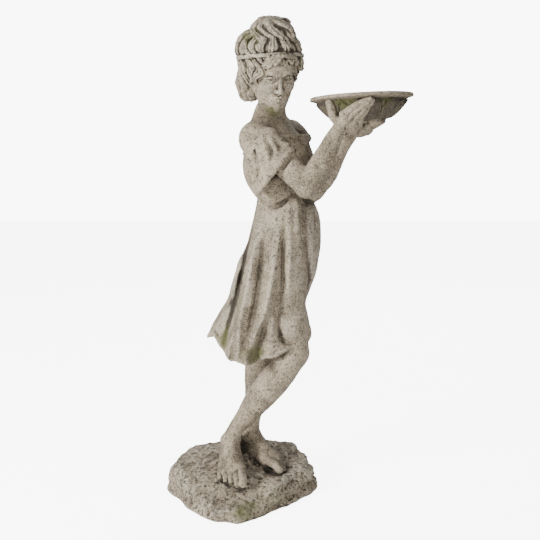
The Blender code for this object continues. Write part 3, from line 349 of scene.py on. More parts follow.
# the far hand lies open under the bowl's foot
def carveLeftHand(clay):
    under = -bowl["depth"] - 11 * mmScale
    palm = bowlCentre + tilted((-4 * mmScale, 2 * mmScale, under))
    clay.tube([leftWrist, palm + mm(-16, -4, -4), palm + mm(12, 2, 0)], mm(13, 15, 14), blend=8 * mmScale,
              flat=((0, 0, 1), 0.8))
    for angle, reach in ((40, 0.60), (62, 0.50), (84, 0.46), (106, 0.52)):
        knuckle = onBowl(angle, 0.90, 4) + mm(0, 0, -3)
        clay.tube([palm, knuckle, onBowl(angle, 0.80, 6.5), onBowl(angle, reach, 5.5)],
                  mm(12, 7.5, 7, 6), blend=5 * mmScale)
    thumb = [palm + mm(-6, -12, 0), onBowl(300, 0.95, 5), onBowl(318, 0.86, 5.5)]
    clay.tube(thumb, mm(10, 8, 6), blend=5 * mmScale)


# Shin and thigh points, and radii, from hip or knee down
rightThigh = ((88, -34, 430, 38), (104, -46, 370, 33), (110, -55, 330, 29))
rightShin = ((110, -55, 332, 28), (88, -47, 294, 31), (55, -31, 248, 32), (32, -18, 215, 28),
              (10, -6, 180, 22), (-12, 6, 148, 17.5), (-26, 16, 118, 17.5))
leftThigh = ((56, 36, 430, 38), (46, 38, 380, 34), (42, 38, 330, 31))
leftShin = ((42, 38, 330, 31), (37, 46, 288, 31), (33, 52, 240, 29), (27, 60, 190, 22.5),
             (21, 66, 145, 17), (19, 69, 108, 17))


def carveLeg(clay, thigh, shin):
    for rows, blend in ((thigh, 8), (shin, 10)):
        points = [at(x, y, z) for x, y, z, _ in rows]
        clay.tube(points, mm(*[r for *_, r in rows]), blend=blend * mmScale, smooth=10)


# a bare foot. heading is the way it points in plan, slope its fall, inner +1 if the big toe is to
# its left
def carveFoot(clay, ankle, heading, slope, inner):
    down = math.radians(slope)
    ahead = unit((heading[0], heading[1], -math.tan(down) * math.hypot(*heading)))
    across = unit(np.cross((0.0, 0.0, 1.0), ahead)) * inner
    up = unit(np.cross(ahead, across)) * inner
    axes = np.array([ahead, across, up])
    sole = ankle - up * 41 * mmScale

    def spot(x, y, z):
        return sole + mm(x, y, z) @ axes
    clay.egg(spot(-20, 0, 20), mm(25, 20, 23), axes, blend=10 * mmScale)
    clay.tube([spot(0, 0, 40), spot(26, 2, 30), spot(56, 3, 17)], mm(18, 18, 14), blend=10 * mmScale, smooth=6)
    clay.tube([spot(-14, -6, 13), spot(30, -14, 11), spot(66, -17, 9)], mm(15, 13, 10), blend=10 * mmScale)
    clay.tube([spot(-10, 7, 14), spot(62, 17, 12)], mm(14, 13), blend=10 * mmScale)
    clay.egg(spot(58, 0, 12), mm(22, 28, 12), axes, blend=8 * mmScale)
    for side in (-1, 1):
        clay.egg(spot(-1, side * 16, 41), mm(8, 6, 9), axes, blend=6 * mmScale)
    for i in range(5):
        out = 20.5 - 11.2 * i - (2.2 if i else 0.0)
        root = 78 - 2.4 * i * i / 2
        long = 29 - 2.6 * i + (3.0 if i == 1 else 0.0)
        thick = 9.0 if i == 0 else 6.6 - 0.35 * i
        path = [spot(root - 12, out * 0.9, 13), spot(root + 0.35 * long, out, thick + 5.0),
                spot(root + 0.75 * long, out + 0.6, thick + 1.5), spot(root + long, out + 0.8, thick - 1.0)]
        clay.tube(path, mm(thick, thick, thick * 0.92, thick * 0.9), blend=1.0 * mmScale, smooth=6)


# The tunic

# Height of each section, then its middle in X and Y and its half widths, all drawn in millimetres
skirtSections = ((676, 78, -2, 46, 56), (652, 84, -2, 55, 60), (634, 90, -2, 61, 66), (600, 93, -2, 70, 76),
         (552, 88, 0, 77, 82), (519, 79, 0, 82.5, 85), (484, 69, 0, 86, 87), (453, 60, 0, 85, 88),
         (425, 52, 0, 83, 88), (395, 46, 0, 94, 91), (362, 40, 0, 104, 95), (330, 36, 0, 110, 98),
         (290, 30, 0, 116, 100))
hemPoints = ((-80, 356), (-60, 358), (-40, 337), (-19, 320), (-7, 323), (9, 318), (24, 315), (38, 321), (52, 328),
       (72, 330), (88, 338), (108, 352), (122, 364), (138, 374), (160, 382))
# Folds that show from the front: depth (a ridge is positive), width, then the line it follows in X and Z
frontFolds = (
    (-6, 8, ((30, 640), (24, 600), (16, 550), (10, 515), (-4, 440), (-22, 385), (-40, 325))),
    (-5, 15, ((6, 510), (0, 480), (-14, 430), (-34, 385), (-50, 345))),
    (4, 5, ((31, 600), (20, 530), (9, 480), (0, 440), (-10, 400), (-20, 360), (-24, 330))),
    (5, 7, ((40, 620), (28, 550), (20, 500), (4, 430), (-3, 380), (-4, 320))),
    (-7, 9, ((56, 600), (44, 525), (38, 480), (32, 440), (25, 405), (18, 345))),
    (7, 9, ((84, 600), (68, 520), (60, 470), (50, 425), (35, 390), (20, 355), (12, 320))),
    (-9, 13, ((52, 415), (43, 365), (39, 345), (35, 312))),
    (3, 7, ((66, 420), (62, 390), (60, 360))),
    (3, 7, ((98, 635), (97, 580), (98, 520), (97, 450))),
    (-5, 8, ((90, 625), (86, 540), (84, 480), (78, 400))),
    (-5, 5, ((78, 430), (79, 390), (86, 365), (100, 358), (118, 366), (128, 400), (133, 440))),
    (5, 8, ((60, 340), (85, 346), (110, 350), (130, 362), (148, 378))),
    (-4, 9, ((126, 600), (132, 540), (138, 480), (130, 420))),
    (3, 7, ((112, 640), (114, 610), (117, 560))),
    (-3, 8, ((130, 640), (131, 610), (136, 560))),
)
figure["foldDepth"] = 1.9             # a share of the depths drawn above
figure["backFolds"] = 9


fineSkirt = curveThrough(skirtSections[::-1], 96)
foldLines = [(depth, width, curveThrough(line, 3 * (len(line) - 1))) for depth, width, line in frontFolds]
hemLine = np.array(hemPoints, float)
hemRoll = 2.0               # how far the rolled edge of the hem stands out


# the skirt's middle and half widths at a height, on smooth curves through the drawn sections
def sectionAt(z):
    return [np.interp(z, fineSkirt[:, 0], fineSkirt[:, i]) for i in range(1, 5)]


# distance in the XZ plane to a line through points, and how strong the line is there: it fades in
# from its upper end, and out towards its lower end where that is above the hem
def lineDistance(x, z, points):
    best, share = np.full(len(x), 1e9), np.zeros(len(x))
    for i, (a, b) in enumerate(zip(points, points[1:])):
        d = b - a
        t = np.clip(((x - a[0]) * d[0] + (z - a[1]) * d[1]) / (d @ d), 0.0, 1.0)
        gap = (x - a[0] - t * d[0]) ** 2 + (z - a[1] - t * d[1]) ** 2
        share = np.where(gap < best, (i + t) / (len(points) - 1), share)
        best = np.minimum(best, gap)
    strength = smoothStep(0.0, 0.3, share) if points[0][1] < 630 else 1.0
    if points[-1][1] > 350:
        strength = strength * smoothStep(1.0, 0.6, share)
    return np.sqrt(best), strength


# the other way round from at(): points in the pose's own millimetres
def drawn(p):
    return p[:, 0] / mmScale, p[:, 1] / mmScale, (p[:, 2] - zeroHeight) / mmScale


def hemHeight(x, y):
    front = np.interp(x, hemLine[:, 0], hemLine[:, 1])
    back = 334 + 7 * np.sin(x / 13.0) - 0.03 * x
    return front + (back - front) * smoothStep(-20, 35, y)


def foldDepth(x, y, z, cx, cy, a, b):
    total = np.zeros(len(x))
    front = 1.0 - smoothStep(-10, 25, y - cy)
    for depth, width, line in foldLines:
        close = (abs(z - line[:, 1].mean()) < np.ptp(line[:, 1]) / 2 + 3 * width) & (front > 0.0)
        if close.any():
            near, strength = lineDistance(x[close], z[close], line)
            total[close] += figure["foldDepth"] * front[close] * depth * strength * np.exp(-(near / width) ** 2)
    angle = np.arctan2((y - cy) / b, (x - cx) / a)
    growth = smoothStep(660, 360, z)
    wave = np.cos(figure["backFolds"] * angle + 0.9 * np.sin(z / 60.0)) + 0.5 * np.cos((figure["backFolds"] + 4) * angle + z / 50.0)
    return total + (1.0 - front) * growth * 6.0 * wave


def skirtForm(p, inset=0.0):
    x, y, z = drawn(p)
    cx, cy, a, b = sectionAt(z)
    fold = foldDepth(x, y, z, cx, cy, a, b) + hemRoll * np.exp(-((z - hemHeight(x, y) - 7.0) / 5.0) ** 2)
    a, b = a - inset, b - inset
    u, v = (x - cx) / a, (y - cy) / b
    k0 = np.sqrt(u * u + v * v)
    k1 = np.sqrt((u / a) ** 2 + (v / b) ** 2)
    return k0 * (k0 - 1.0) / np.maximum(k1, 1e-9) - fold, x, y, z


def skirtDistance(p):
    d, x, y, z = skirtForm(p)
    low = hemHeight(x, y)
    return both(both(d, low - z, 4.0), z - 668.0, 14.0) * 0.8 * mmScale


# the undercut inside the hem, between the cloth and the legs
def hollowDistance(p):
    d, x, y, z = skirtForm(p, 14.0)
    low = hemHeight(x, y)
    return both(d, z - low - 26.0, 12.0) * 0.8 * mmScale


def carveSkirt(clay):
    low, high = at(-95, -115, 285), at(185, 115, 690)
    clay.lay(skirtDistance, low, high, blend=10 * mmScale)
    clay.tube([at(104, -44, 440), at(106, -54, 395), at(108, -56, 372)], mm(26, 27, 24), blend=14 * mmScale)
    clay.lay(hollowDistance, low, high, blend=3 * mmScale, cut=True)


# height of the cloth's edge: high over the chest, lower over the back
def neckline(x, y):
    ahead = 0.88 * (x - 66) - 0.47 * (y + 3)
    return 742 + 24 * smoothStep(-20, 15, ahead) + 0.06 * (y + 15)


def bodiceBody():
    body = Clay()
    body.egg(at(66, -3, 716), mm(57, 70, 86), bodyAxes)
    for bx, by in ((92, -46), (116, -2)):
        body.egg(at(bx, by, 722), mm(32, 31, 32), bodyAxes, blend=14 * mmScale)
    body.tube([at(70, -20, 752), at(104, 62, 764)], mm(34, 29), blend=14 * mmScale)
    body.egg(at(102, -24, 734), mm(37, 52, 40), bodyAxes, blend=12 * mmScale)
    body.egg(at(50, -10, 704), mm(36, 54, 44), bodyAxes, blend=12 * mmScale)
    return body.strokes


bodiceStrokes = bodiceBody()


# the cloth over chest and back: the body a little grown, cut off along the neckline
def bodiceDistance(p):
    x, y, z = drawn(p)
    return both(Clay.measure(bodiceStrokes, p), (z - neckline(x, y)) * mmScale, 3 * mmScale)


def carveBodice(clay):
    clay.lay(bodiceDistance, at(-10, -90, 600), at(165, 110, 800), blend=2 * mmScale)
    clay.egg(at(67, -45, 664), mm(38, 38, 34), blend=3 * mmScale)
    clay.egg(at(112, -28, 676), mm(38, 38, 34), blend=8 * mmScale)
    roll = [at(76, -84, 762), at(92, -67, 761), at(114, -43, 762), at(131, -14, 763), at(138, 14, 767)]
    clay.tube(roll, mm(4, 5, 5, 5, 6), blend=8 * mmScale, smooth=10)
    clay.tube([at(88, -66, 749), at(112, -45, 745), at(136, -20, 750)], mm(4, 4.5, 4), blend=5 * mmScale, smooth=6)
    far = [at(100, 82, 792), at(112, 80, 786), at(126, 60, 776), at(138, 28, 764)]
    clay.tube(far, mm(11, 13, 12, 8), blend=8 * mmScale, smooth=8)
    clay.tube([at(106, 84, 782), at(118, 78, 740), at(124, 60, 700)], mm(22, 26, 16), blend=10 * mmScale, smooth=6)


pouchSeam = ((26, -54, 660), (36, -58, 645), (50, -62, 633), (66, -64, 629), (82, -65, 634), (97, -66, 646))
neckEdge = ((10, -94, 732), (24, -107, 739), (35, -112, 748), (51, -109, 761), (62, -104, 768), (71, -93, 767),
             (84, -79, 766), (97, -66, 767), (114, -47, 768), (131, -17, 768), (139, 12, 770))
sleeveHem = ((98, -109, 740), (88, -119, 726), (74, -123, 708), (56, -119, 685), (38, -102, 659))
sleeveCreases = (((30, -113, 741), (35, -117, 717), (36, -117, 698), (33, -108, 660)),
                  ((18, -104, 722), (24, -111, 711), (28, -113, 698), (31, -108, 668)))
sleeveRidges = (((58, -106, 764), (70, -117, 742), (75, -121, 715)), ((48, -110, 756), (56, -119, 725), (58, -121, 695)))


# the near sleeve: a wide bell of cloth that hangs to a point under the arm
def carveSleeve(clay):
    peak, back = at(60, -88, 764), at(27, -90, 742)
    point, top = at(37, -100, 660), at(97, -102, 736)
    middle, low = at(74, -116, 708), at(55, -114, 684)
    clay.tube([peak, top], mm(15, 9), blend=10 * mmScale)
    clay.tube([peak, at(84, -112, 724)], mm(16, 9), blend=12 * mmScale)
    clay.tube([at(46, -92, 754), middle], mm(20, 8), blend=12 * mmScale)
    clay.tube([at(38, -92, 746), low], mm(21, 9), blend=12 * mmScale)
    clay.tube([back, at(36, -98, 700), point], mm(17, 15, 7), blend=10 * mmScale)
    clay.tube([at(46, -70, 730), at(44, -84, 690)], mm(26, 16), blend=10 * mmScale)
    clay.tube([back + mm(-2, 8, 0), at(30, -88, 700), at(34, -92, 664)], mm(5, 5, 4), blend=4 * mmScale, smooth=8)
    for line in sleeveRidges:
        clay.tube([at(*q) + mm(0, -1.5, 0) for q in line], mm(3, 4.5, 3), blend=6 * mmScale, smooth=6)
    for line in sleeveCreases:
        clay.tube([at(*q) + mm(0, 2.5, 0) for q in line], mm(2.5, 4, 4.5, 3), blend=3 * mmScale, cut=True, smooth=9)
    edge = [at(*q) for q in neckEdge]
    clay.tube(edge, mm(*[3.4] * len(edge)), blend=1.5 * mmScale, smooth=2 * len(edge))
    clay.tube([at(*q) for q in pouchSeam], mm(3, 5, 6, 6, 6, 4), blend=2 * mmScale, cut=True, smooth=10)
    along = rightElbow - rightShoulder
    mouth = rightShoulder + 0.60 * along
    clay.tube([mouth + mm(0, 2, -16), mouth - 0.22 * along + mm(0, 2, -26)], mm(17, 10), blend=4 * mmScale, cut=True)


# the hem stands off the arm as a thick rim, with a dark gap between the two
def carveSleeveHem(clay):
    hem = [at(*q) for q in sleeveHem]
    along = unit(rightElbow - rightShoulder)
    clay.tube([q + 8 * mmScale * along + mm(0, 5, -1) for q in hem[:-1]], mm(4, 5.5, 6.5, 8), blend=1.5 * mmScale,
              cut=True, smooth=10)
    clay.tube([q - 9 * mmScale * along + mm(0, 3, 1) for q in hem], mm(7, 8, 8, 8, 5), blend=6 * mmScale, smooth=12)
    clay.tube(hem, mm(4.5, 5, 5.2, 5.2, 5), blend=2.5 * mmScale, smooth=12)


# The head

headHeight = 132 * mmScale                       # from chin to crown
headCentre = at(66, -26, 894)
headTurn, headNod, headLean = math.radians(18), math.radians(27), math.radians(4)


# rows: towards her left, ahead, and up through the crown
def headAxes():
    ahead = np.array((math.sin(headTurn) * math.cos(headNod), -math.cos(headTurn) * math.cos(headNod), -math.sin(headNod)))
    up = unit(np.array((0.0, 0.0, 1.0)) + math.sin(headNod) * ahead)
    left = np.cross(up, ahead)
    return np.array([math.cos(headLean) * left + math.sin(headLean) * up, ahead,
                     math.cos(headLean) * up - math.sin(headLean) * left])


headAxes = headAxes()


# a point of the head in shares of its height, from its middle
def face(x, y, z):
    return headCentre + headHeight * (np.array((x, y, z)) @ headAxes)


def carveFace(clay):
    def lump(x, y, z, rx, ry, rz, blend, cut=False):
        for side in ((-1, 1) if x else (1,)):
            clay.egg(face(side * x, y, z), headHeight * np.array((rx, ry, rz)), headAxes, headHeight * blend, cut)

    def line(points, radii, blend, mirrored=True, cut=False):
        for side in ((-1, 1) if mirrored else (1,)):
            clay.tube([face(side * x, y, z) for x, y, z in points], headHeight * np.array(radii), headHeight * blend,
                      cut, smooth=3 * len(points))

    lump(0, -0.06, 0.14, 0.335, 0.42, 0.36, 0.05)
    lump(0, 0.10, -0.08, 0.285, 0.275, 0.37, 0.10)
    lump(0, 0.21, -0.38, 0.125, 0.13, 0.105, 0.10)
    line([(0.25, -0.04, -0.18), (0.19, 0.10, -0.31), (0.06, 0.24, -0.41)], [0.07, 0.07, 0.07], 0.10)
    lump(0.16, 0.245, -0.13, 0.10, 0.085, 0.11, 0.07)
    lump(0, 0.27, 0.17, 0.20, 0.09, 0.12, 0.08)
    lump(0.145, 0.410, 0.005, 0.095, 0.090, 0.062, 0.05, cut=True)
    line([(0.05, 0.345, 0.075), (0.14, 0.335, 0.105), (0.235, 0.25, 0.07)], [0.022, 0.026, 0.02], 0.05)
    lump(0.14, 0.262, 0.0, 0.075, 0.068, 0.062, 0.01)
    line([(0.075, 0.318, 0.005), (0.14, 0.345, 0.03), (0.21, 0.285, 0.0)], [0.012, 0.015, 0.012], 0.012)
    line([(0.08, 0.316, -0.02), (0.14, 0.328, -0.04), (0.205, 0.285, -0.015)], [0.010, 0.012, 0.010], 0.010)
    line([(0.085, 0.338, 0.034), (0.145, 0.356, 0.056), (0.215, 0.300, 0.032)], [0.006, 0.008, 0.006], 0.008, cut=True)
    line([(0.085, 0.326, -0.008), (0.14, 0.344, -0.010), (0.20, 0.296, -0.008)], [0.005, 0.007, 0.005], 0.004, cut=True)
    line([(0, 0.33, 0.09), (0, 0.375, -0.02), (0, 0.42, -0.12), (0, 0.435, -0.155)],
         [0.034, 0.030, 0.036, 0.040], 0.035, mirrored=False)
    lump(0.045, 0.385, -0.17, 0.032, 0.038, 0.028, 0.025)
    lump(0.026, 0.415, -0.205, 0.014, 0.02, 0.012, 0.01, cut=True)
    lump(0, 0.30, -0.29, 0.12, 0.075, 0.085, 0.05)
    line([(0, 0.377, -0.272), (0.035, 0.376, -0.265), (0.09, 0.338, -0.288)], [0.016, 0.018, 0.008], 0.010)
    line([(0, 0.370, -0.320), (0.04, 0.362, -0.315), (0.085, 0.336, -0.296)], [0.022, 0.019, 0.008], 0.012)
    line([(-0.10, 0.350, -0.288), (-0.04, 0.390, -0.292), (0, 0.394, -0.295), (0.04, 0.390, -0.292),
          (0.10, 0.350, -0.288)], [0.006, 0.008, 0.008, 0.008, 0.006], 0.006, mirrored=False, cut=True)
    line([(0, 0.392, -0.215), (0, 0.386, -0.25)], [0.008, 0.008], 0.012, mirrored=False, cut=True)
    lump(0, 0.345, -0.435, 0.062, 0.045, 0.05, 0.05)


# Masses of hair, in shares of the head: middle, half sizes, locks round, their sweep round and wave, relief
hairForm = ((-0.01, -0.15, 0.13), (0.485, 0.50, 0.43), 19, 1.6, 0.6, 0.12)
knotForm = ((0.0, -0.15, 0.525), (0.32, 0.31, 0.22), 8, 1.3, 0.22, 0.17)
napeForm = ((-0.22, -0.40, -0.31), (0.22, 0.19, 0.33), 9, 0.8, 0.35, 0.15)
frontRoll = 0.10
backRoll = 0.15          # the hair stands fuller behind her right ear, below the knot
bandHeight, bandSlope = 0.225, 0.45        # the plane of the hair band: level at the middle, rise per depth
bandHalfWidth, bandLift = 0.026, 0.05


hairNoise = Noise(12)


def inHead(p):
    return (p - headCentre) @ headAxes.T / headHeight


# how far a point of the head lies above the band's plane
def bandOffset(q):
    return (q[:, 2] - bandHeight - bandSlope * q[:, 1]) / math.hypot(1.0, bandSlope)


# 0 in the grooves between wavy locks, 1 along their tops
def lockRidges(theta, rise, count, sweep, wave):
    phase = theta * count / math.tau + sweep * rise + wave * np.sin(4.6 * rise + 1.6 * np.sin(2.0 * theta))
    phase += 0.27 * wave * np.sin(8.0 * rise + 3.0 * theta)
    strands = 0.13 * np.sin(math.tau * 4.0 * phase + 2.0 * rise)
    return 1.0 - (2.0 * (phase % 1.0) - 1.0) ** 2 + strands, np.floor(phase) % count


def hairDistance(p, form, withBand):
    centre, radii, count, sweep, wave, relief = form
    q = inHead(p)
    v = (q - centre) / radii
    k0 = np.sqrt((v * v).sum(1)) + 1e-9
    theta = np.arctan2(v[:, 0], v[:, 1]) + 0.13 * hairNoise(p, 0.24 * headHeight)
    rise = np.arcsin(np.clip(v[:, 2] / k0, -1.0, 1.0))
    ridge, lock = lockRidges(theta, rise, count, sweep, wave)
    full = smoothStep(0.10, 0.65, np.cos(rise))
    swell = 1.0 + 0.35 * np.sin(lock * 2.4)
    reach = 1.0 + relief * full * (swell * ridge - 0.6)
    size = min(radii) * headHeight * 0.85
    if not withBand:
        return (k0 - reach) * size
    above = bandOffset(q)
    smooth = 1.0 + frontRoll * np.exp(-(theta / 1.1) ** 2) * smoothStep(0.02, 0.14, above)
    roundBack = (theta + 1.9 + math.pi) % math.tau - math.pi
    smooth += backRoll * np.exp(-roundBack ** 2 - ((rise - 0.75) / 0.45) ** 2)
    sunk = 0.07 * np.exp(-(above / 0.05) ** 2)
    hair = (k0 - reach - (smooth - 1.0) + sunk) * size
    band = both((k0 - 1.0 - bandLift) * size, (abs(above) - bandHalfWidth) * headHeight, 0.012 * headHeight)
    return blended(hair, band, 0.01 * headHeight)


def carveHair(clay):
    for form, blend in ((hairForm, 0.02), (knotForm, 0.035), (napeForm, 0.05)):
        reach = 1.25 * max(form[1]) * headHeight
        middle = face(*form[0])
        clay.lay(lambda p, form=form: hairDistance(p, form, form is hairForm), middle - reach, middle + reach,
                 headHeight * blend)
    carveFringe(clay)


# how far ahead the brow's surface stands, in shares of the head
def brow(x, z):
    return -0.06 + 0.42 * math.sqrt(max(0.05, 1.0 - (x / 0.335) ** 2 - ((z - 0.14) / 0.36) ** 2))


partingPlace = 0.04
fringeEnds = ((0.10, 0.245), (0.195, 0.20), (0.275, 0.13), (0.325, 0.04))    # where the locks end


def lock(clay, spots, thick, blend=0.01):
    clay.tube([face(*s) for s in spots], headHeight * np.array(thick), headHeight * blend, smooth=2 * (len(spots) - 1))


# locks that sweep from the parting over the brow, each ending in a curl
def carveFringe(clay):
    for side in (-1, 1):
        for i, (x, z) in enumerate(fringeEnds):
            root = partingPlace + side * (0.02 + 0.065 * i)
            end = partingPlace + side * x
            top = bandHeight + bandSlope * brow(root, 0.26) - 0.02
            middle = (0.55 * root + 0.45 * end, 0.45 * top + 0.55 * (z + 0.07))
            spots = [(root, brow(root, 0.28) + 0.03, top),
                     (middle[0], brow(*middle) + 0.05, middle[1]),
                     (end - side * 0.012, brow(end, z + 0.03) + 0.045, z + 0.035),
                     (end + side * 0.03, brow(end, z) + 0.035, z - 0.005),
                     (end + side * 0.052, brow(end, z) + 0.02, z + 0.03)]
            lock(clay, spots, [0.030, 0.039, 0.034, 0.026, 0.014], 0.002)
        for i in range(3):
            x = side * (0.335 + 0.022 * i)
            y = 0.06 - 0.08 * i
            spots = [(x * 0.95, y + 0.05, 0.16), (x * 1.06, y + 0.03 * math.sin(2 * i), 0.05),
                     (x * 1.00, y + 0.01, -0.06), (x * 1.05, y - 0.02, -0.15 - 0.04 * (i % 2))]
            lock(clay, spots, [0.04, 0.044, 0.040, 0.018])


def figureClay():
    clay = Clay()
    carveRock(clay)
    carveSkirt(clay)
    carveLeg(clay, leftThigh, leftShin)
    carveLeg(clay, rightThigh, rightShin)
    carveFoot(clay, at(19, 69, 108), (0.76, -0.65), 9.0, -1)
    carveFoot(clay, at(-26, 16, 116), (0.10, -1.0), 15.0, 1)
    carveTorso(clay)
    carveBodice(clay)
    carveArm(clay, leftShoulder, leftElbow, leftWrist, mm(4, 0, 0))
    carveSleeve(clay)
    carveArm(clay, rightShoulder, rightElbow, rightWrist, mm(3, -2, -3), blend=3)
    carveSleeveHem(clay)
    carveLeftHand(clay)
    carveRightHand(clay)
    carveFace(clay)
    carveHair(clay)
    return clay


# clay to mesh

patchCells = 4                            # cells along a patch
blockCells = 3 * patchCells                    # cells along a block, which shares one list of strokes


# distances on a grid: exact in patches near the surface, and only inside or outside away from it
def sampled(clay, cell):
    low = np.min([s[1] for s in clay.strokes if not s[4]], axis=0) - 3 * cell
    high = np.max([s[2] for s in clay.strokes if not s[4]], axis=0) + 3 * cell
    blocks = np.ceil((high - low) / cell / blockCells).astype(int)
    grid = np.ones(blocks * blockCells, np.float32)
    size, patch = blockCells * cell, patchCells * cell
    steps = np.stack(np.meshgrid(*[np.arange(patchCells)] * 3, indexing="ij"), -1).reshape(-1, 3)
    patches = np.stack(np.meshgrid(*[np.arange(3)] * 3, indexing="ij"), -1).reshape(-1, 3)
    for index in itertools.product(*[range(n) for n in blocks]):
        corner = low + np.array(index) * size
        nearby = clay.near(corner - cell, corner + size + cell)
        if not nearby:
            continue
        deep = Clay.measure(nearby, corner + (patches + 0.5) * patch)
        first = np.array(index) * blockCells
        whole = grid[tuple(slice(a, a + blockCells) for a in first)]
        whole[...] = np.sign(deep).reshape(3, 3, 3).repeat(patchCells, 0).repeat(patchCells, 1).repeat(patchCells, 2)
        active = patches[abs(deep) < 1.5 * patch]
        if len(active):
            cells = (active[:, None] * patchCells + steps).reshape(-1, 3)
            whole[tuple(cells.T)] = Clay.measure(nearby, corner + cells * cell)
    grid[np.abs(grid) < 1e-7] = 1e-7
    return grid, low


# the closed surface where the grid changes sign: each cell is split into six tetrahedra
def skinned(grid, low, cell):
    shape = np.array(grid.shape)
    inside = grid < 0
    mixed = np.zeros(shape - 1, np.int8)
    corners = list(itertools.product((0, 1), repeat=3))
    for c in corners:
        mixed += inside[tuple(slice(o, n - 1 + o) for o, n in zip(c, shape))]
    cells = np.argwhere((mixed > 0) & (mixed < 8))
    strides = np.array((shape[1] * shape[2], shape[2], 1))
    values = grid.ravel()
    triangles, tails = [], []
    for order in itertools.permutations(range(3)):
        path = [np.zeros(3, int)]
        for axis in order:
            path.append(path[-1] + np.eye(3, dtype=int)[axis])
        ids = np.stack([(cells + p) @ strides for p in path], 1)
        level = values[ids] < 0
        count = level.sum(1)
        for wanted in (1, 2, 3):
            rows = np.flatnonzero(count == wanted)
            if not len(rows):
                continue
            sort = np.argsort(~level[rows], axis=1, kind="stable")
            tet = np.take_along_axis(ids[rows], sort, 1)
            if wanted == 1:
                found = [((0, 1), (0, 2), (0, 3))]
            elif wanted == 3:
                found = [((0, 3), (1, 3), (2, 3))]
            else:
                found = [((0, 2), (0, 3), (1, 3)), ((0, 2), (1, 3), (1, 2))]
            for tri in found:
                triangles.append(np.stack([np.stack([tet[:, a], tet[:, b]], 1) for a, b in tri], 1))
                tails.append(np.stack([tet[:, 0], tet[:, 3]], 1))
    triangles, tails = np.concatenate(triangles), np.concatenate(tails)
    ends = np.sort(triangles.reshape(-1, 2), axis=1)
    keys, faces = np.unique(ends[:, 0] * np.int64(values.size) + ends[:, 1], return_inverse=True)
    first, second = keys // values.size, keys % values.size

    def place(ids):
        return np.stack(np.unravel_index(ids, grid.shape), -1)
    share = (values[first] / (values[first] - values[second]))[:, None]
    share = np.clip(share, 0.02, 0.98)
    points = low + cell * (place(first) * (1.0 - share) + place(second) * share)
    faces = faces.reshape(-1, 3)
    outward = place(tails[:, 1]) - place(tails[:, 0])
    a, b, c = points[faces[:, 0]], points[faces[:, 1]], points[faces[:, 2]]
    flip = (np.cross(b - a, c - a) * outward).sum(1) < 0
    faces[flip] = faces[flip][:, ::-1]
    return points, faces


def meshOf(name, points, faces):
    mesh = bpy.data.meshes.new(name)
    mesh.from_pydata(points.tolist(), [], faces.tolist())
    return mesh


def objectOf(name, mesh, material):
    obj = bpy.data.objects.new(name, mesh)
    mesh.materials.clear()
    mesh.materials.append(material)
    bpy.context.scene.collection.objects.link(obj)
    return obj


def settled(obj):
    # the object's mesh with its modifiers applied
    bpy.context.view_layer.update()
    mesh = bpy.data.meshes.new_from_object(obj.evaluated_get(bpy.context.evaluated_depsgraph_get()))
    obj.modifiers.clear()
    obj.data = mesh
    return mesh


def flatBottom(mesh):
    bm = bmesh.new()
    bm.from_mesh(mesh)
    everything = bm.verts[:] + bm.edges[:] + bm.faces[:]
    bmesh.ops.bisect_plane(bm, geom=everything, plane_co=(0, 0, 0), plane_no=(0, 0, 1), clear_inner=True)
    rim = [edge for edge in bm.edges if edge.is_boundary]
    for edge in rim:
        for vert in edge.verts:
            vert.co.z = 0.0
    bmesh.ops.holes_fill(bm, edges=rim)
    bmesh.ops.triangulate(bm, faces=[face for face in bm.faces if len(face.verts) > 4])
    bm.to_mesh(mesh)
    bm.free()


def coordinates(mesh, normals=False):
    source = mesh.vertex_normals if normals else mesh.vertices
    flat = np.empty(len(mesh.vertices) * 3, np.float32)
    source.foreach_get("vector" if normals else "co", flat)
    return flat.reshape(-1, 3).astype(float)


def measuredAt(clay, points, block=0.03):
    # distances at scattered points, block by block
    keys = np.floor(points / block).astype(np.int64)
    codes = (keys[:, 0] * 100003 + keys[:, 1]) * 100003 + keys[:, 2]
    order = np.argsort(codes, kind="stable")
    starts = np.flatnonzero(np.diff(codes[order], prepend=codes[order][0] - 1))
    out = np.ones(len(points))
    for group in np.split(order, starts[1:]):
        here = points[group]
        nearby = clay.near(here.min(0) - 0.001, here.max(0) + 0.001)
        if nearby:
            out[group] = Clay.measure(nearby, here)
    return out


def split(mesh, spots):
    # each face near a spot becomes four
    bm = bmesh.new()
    bm.from_mesh(mesh)
    edges = [edge for edge in bm.edges if any(
        all((vert.co - middle).length < reach for vert in edge.verts) for middle, reach in spots)]
    bmesh.ops.subdivide_edges(bm, edges=edges, cuts=1, use_grid_fill=True)
    bmesh.ops.triangulate(bm, faces=[face for face in bm.faces if len(face.verts) > 3 and face.calc_center_median().z > 0.001])
    bm.to_mesh(mesh)
    bm.free()


def withoutFlaps(mesh):
    # drops faces that lie back to back on the same points
    bm = bmesh.new()
    bm.from_mesh(mesh)
    alike = {}
    for face in bm.faces:
        alike.setdefault(frozenset(vert.index for vert in face.verts), []).append(face)
    flaps = [face for same in alike.values() if len(same) > 1 for face in same]
    bmesh.ops.delete(bm, geom=flaps, context="FACES")
    print("flaps dropped:", len(flaps), "edges not between two faces:", sum(len(e.link_faces) != 2 for e in bm.edges))
    bm.to_mesh(mesh)
    bm.free()


def settle(mesh, clay, steps=3):
    # moves the points onto the clay's true surface, step by step
    for step in range(steps):
        points, normals = coordinates(mesh), coordinates(mesh, True)
        away = np.clip(measuredAt(clay, points), -0.0015, 0.0015) * 0.85 * (points[:, 2] > 0.0005)
        points -= normals * away[:, None]
        mesh.vertices.foreach_set("co", points.astype(np.float32).ravel())
        mesh.update()


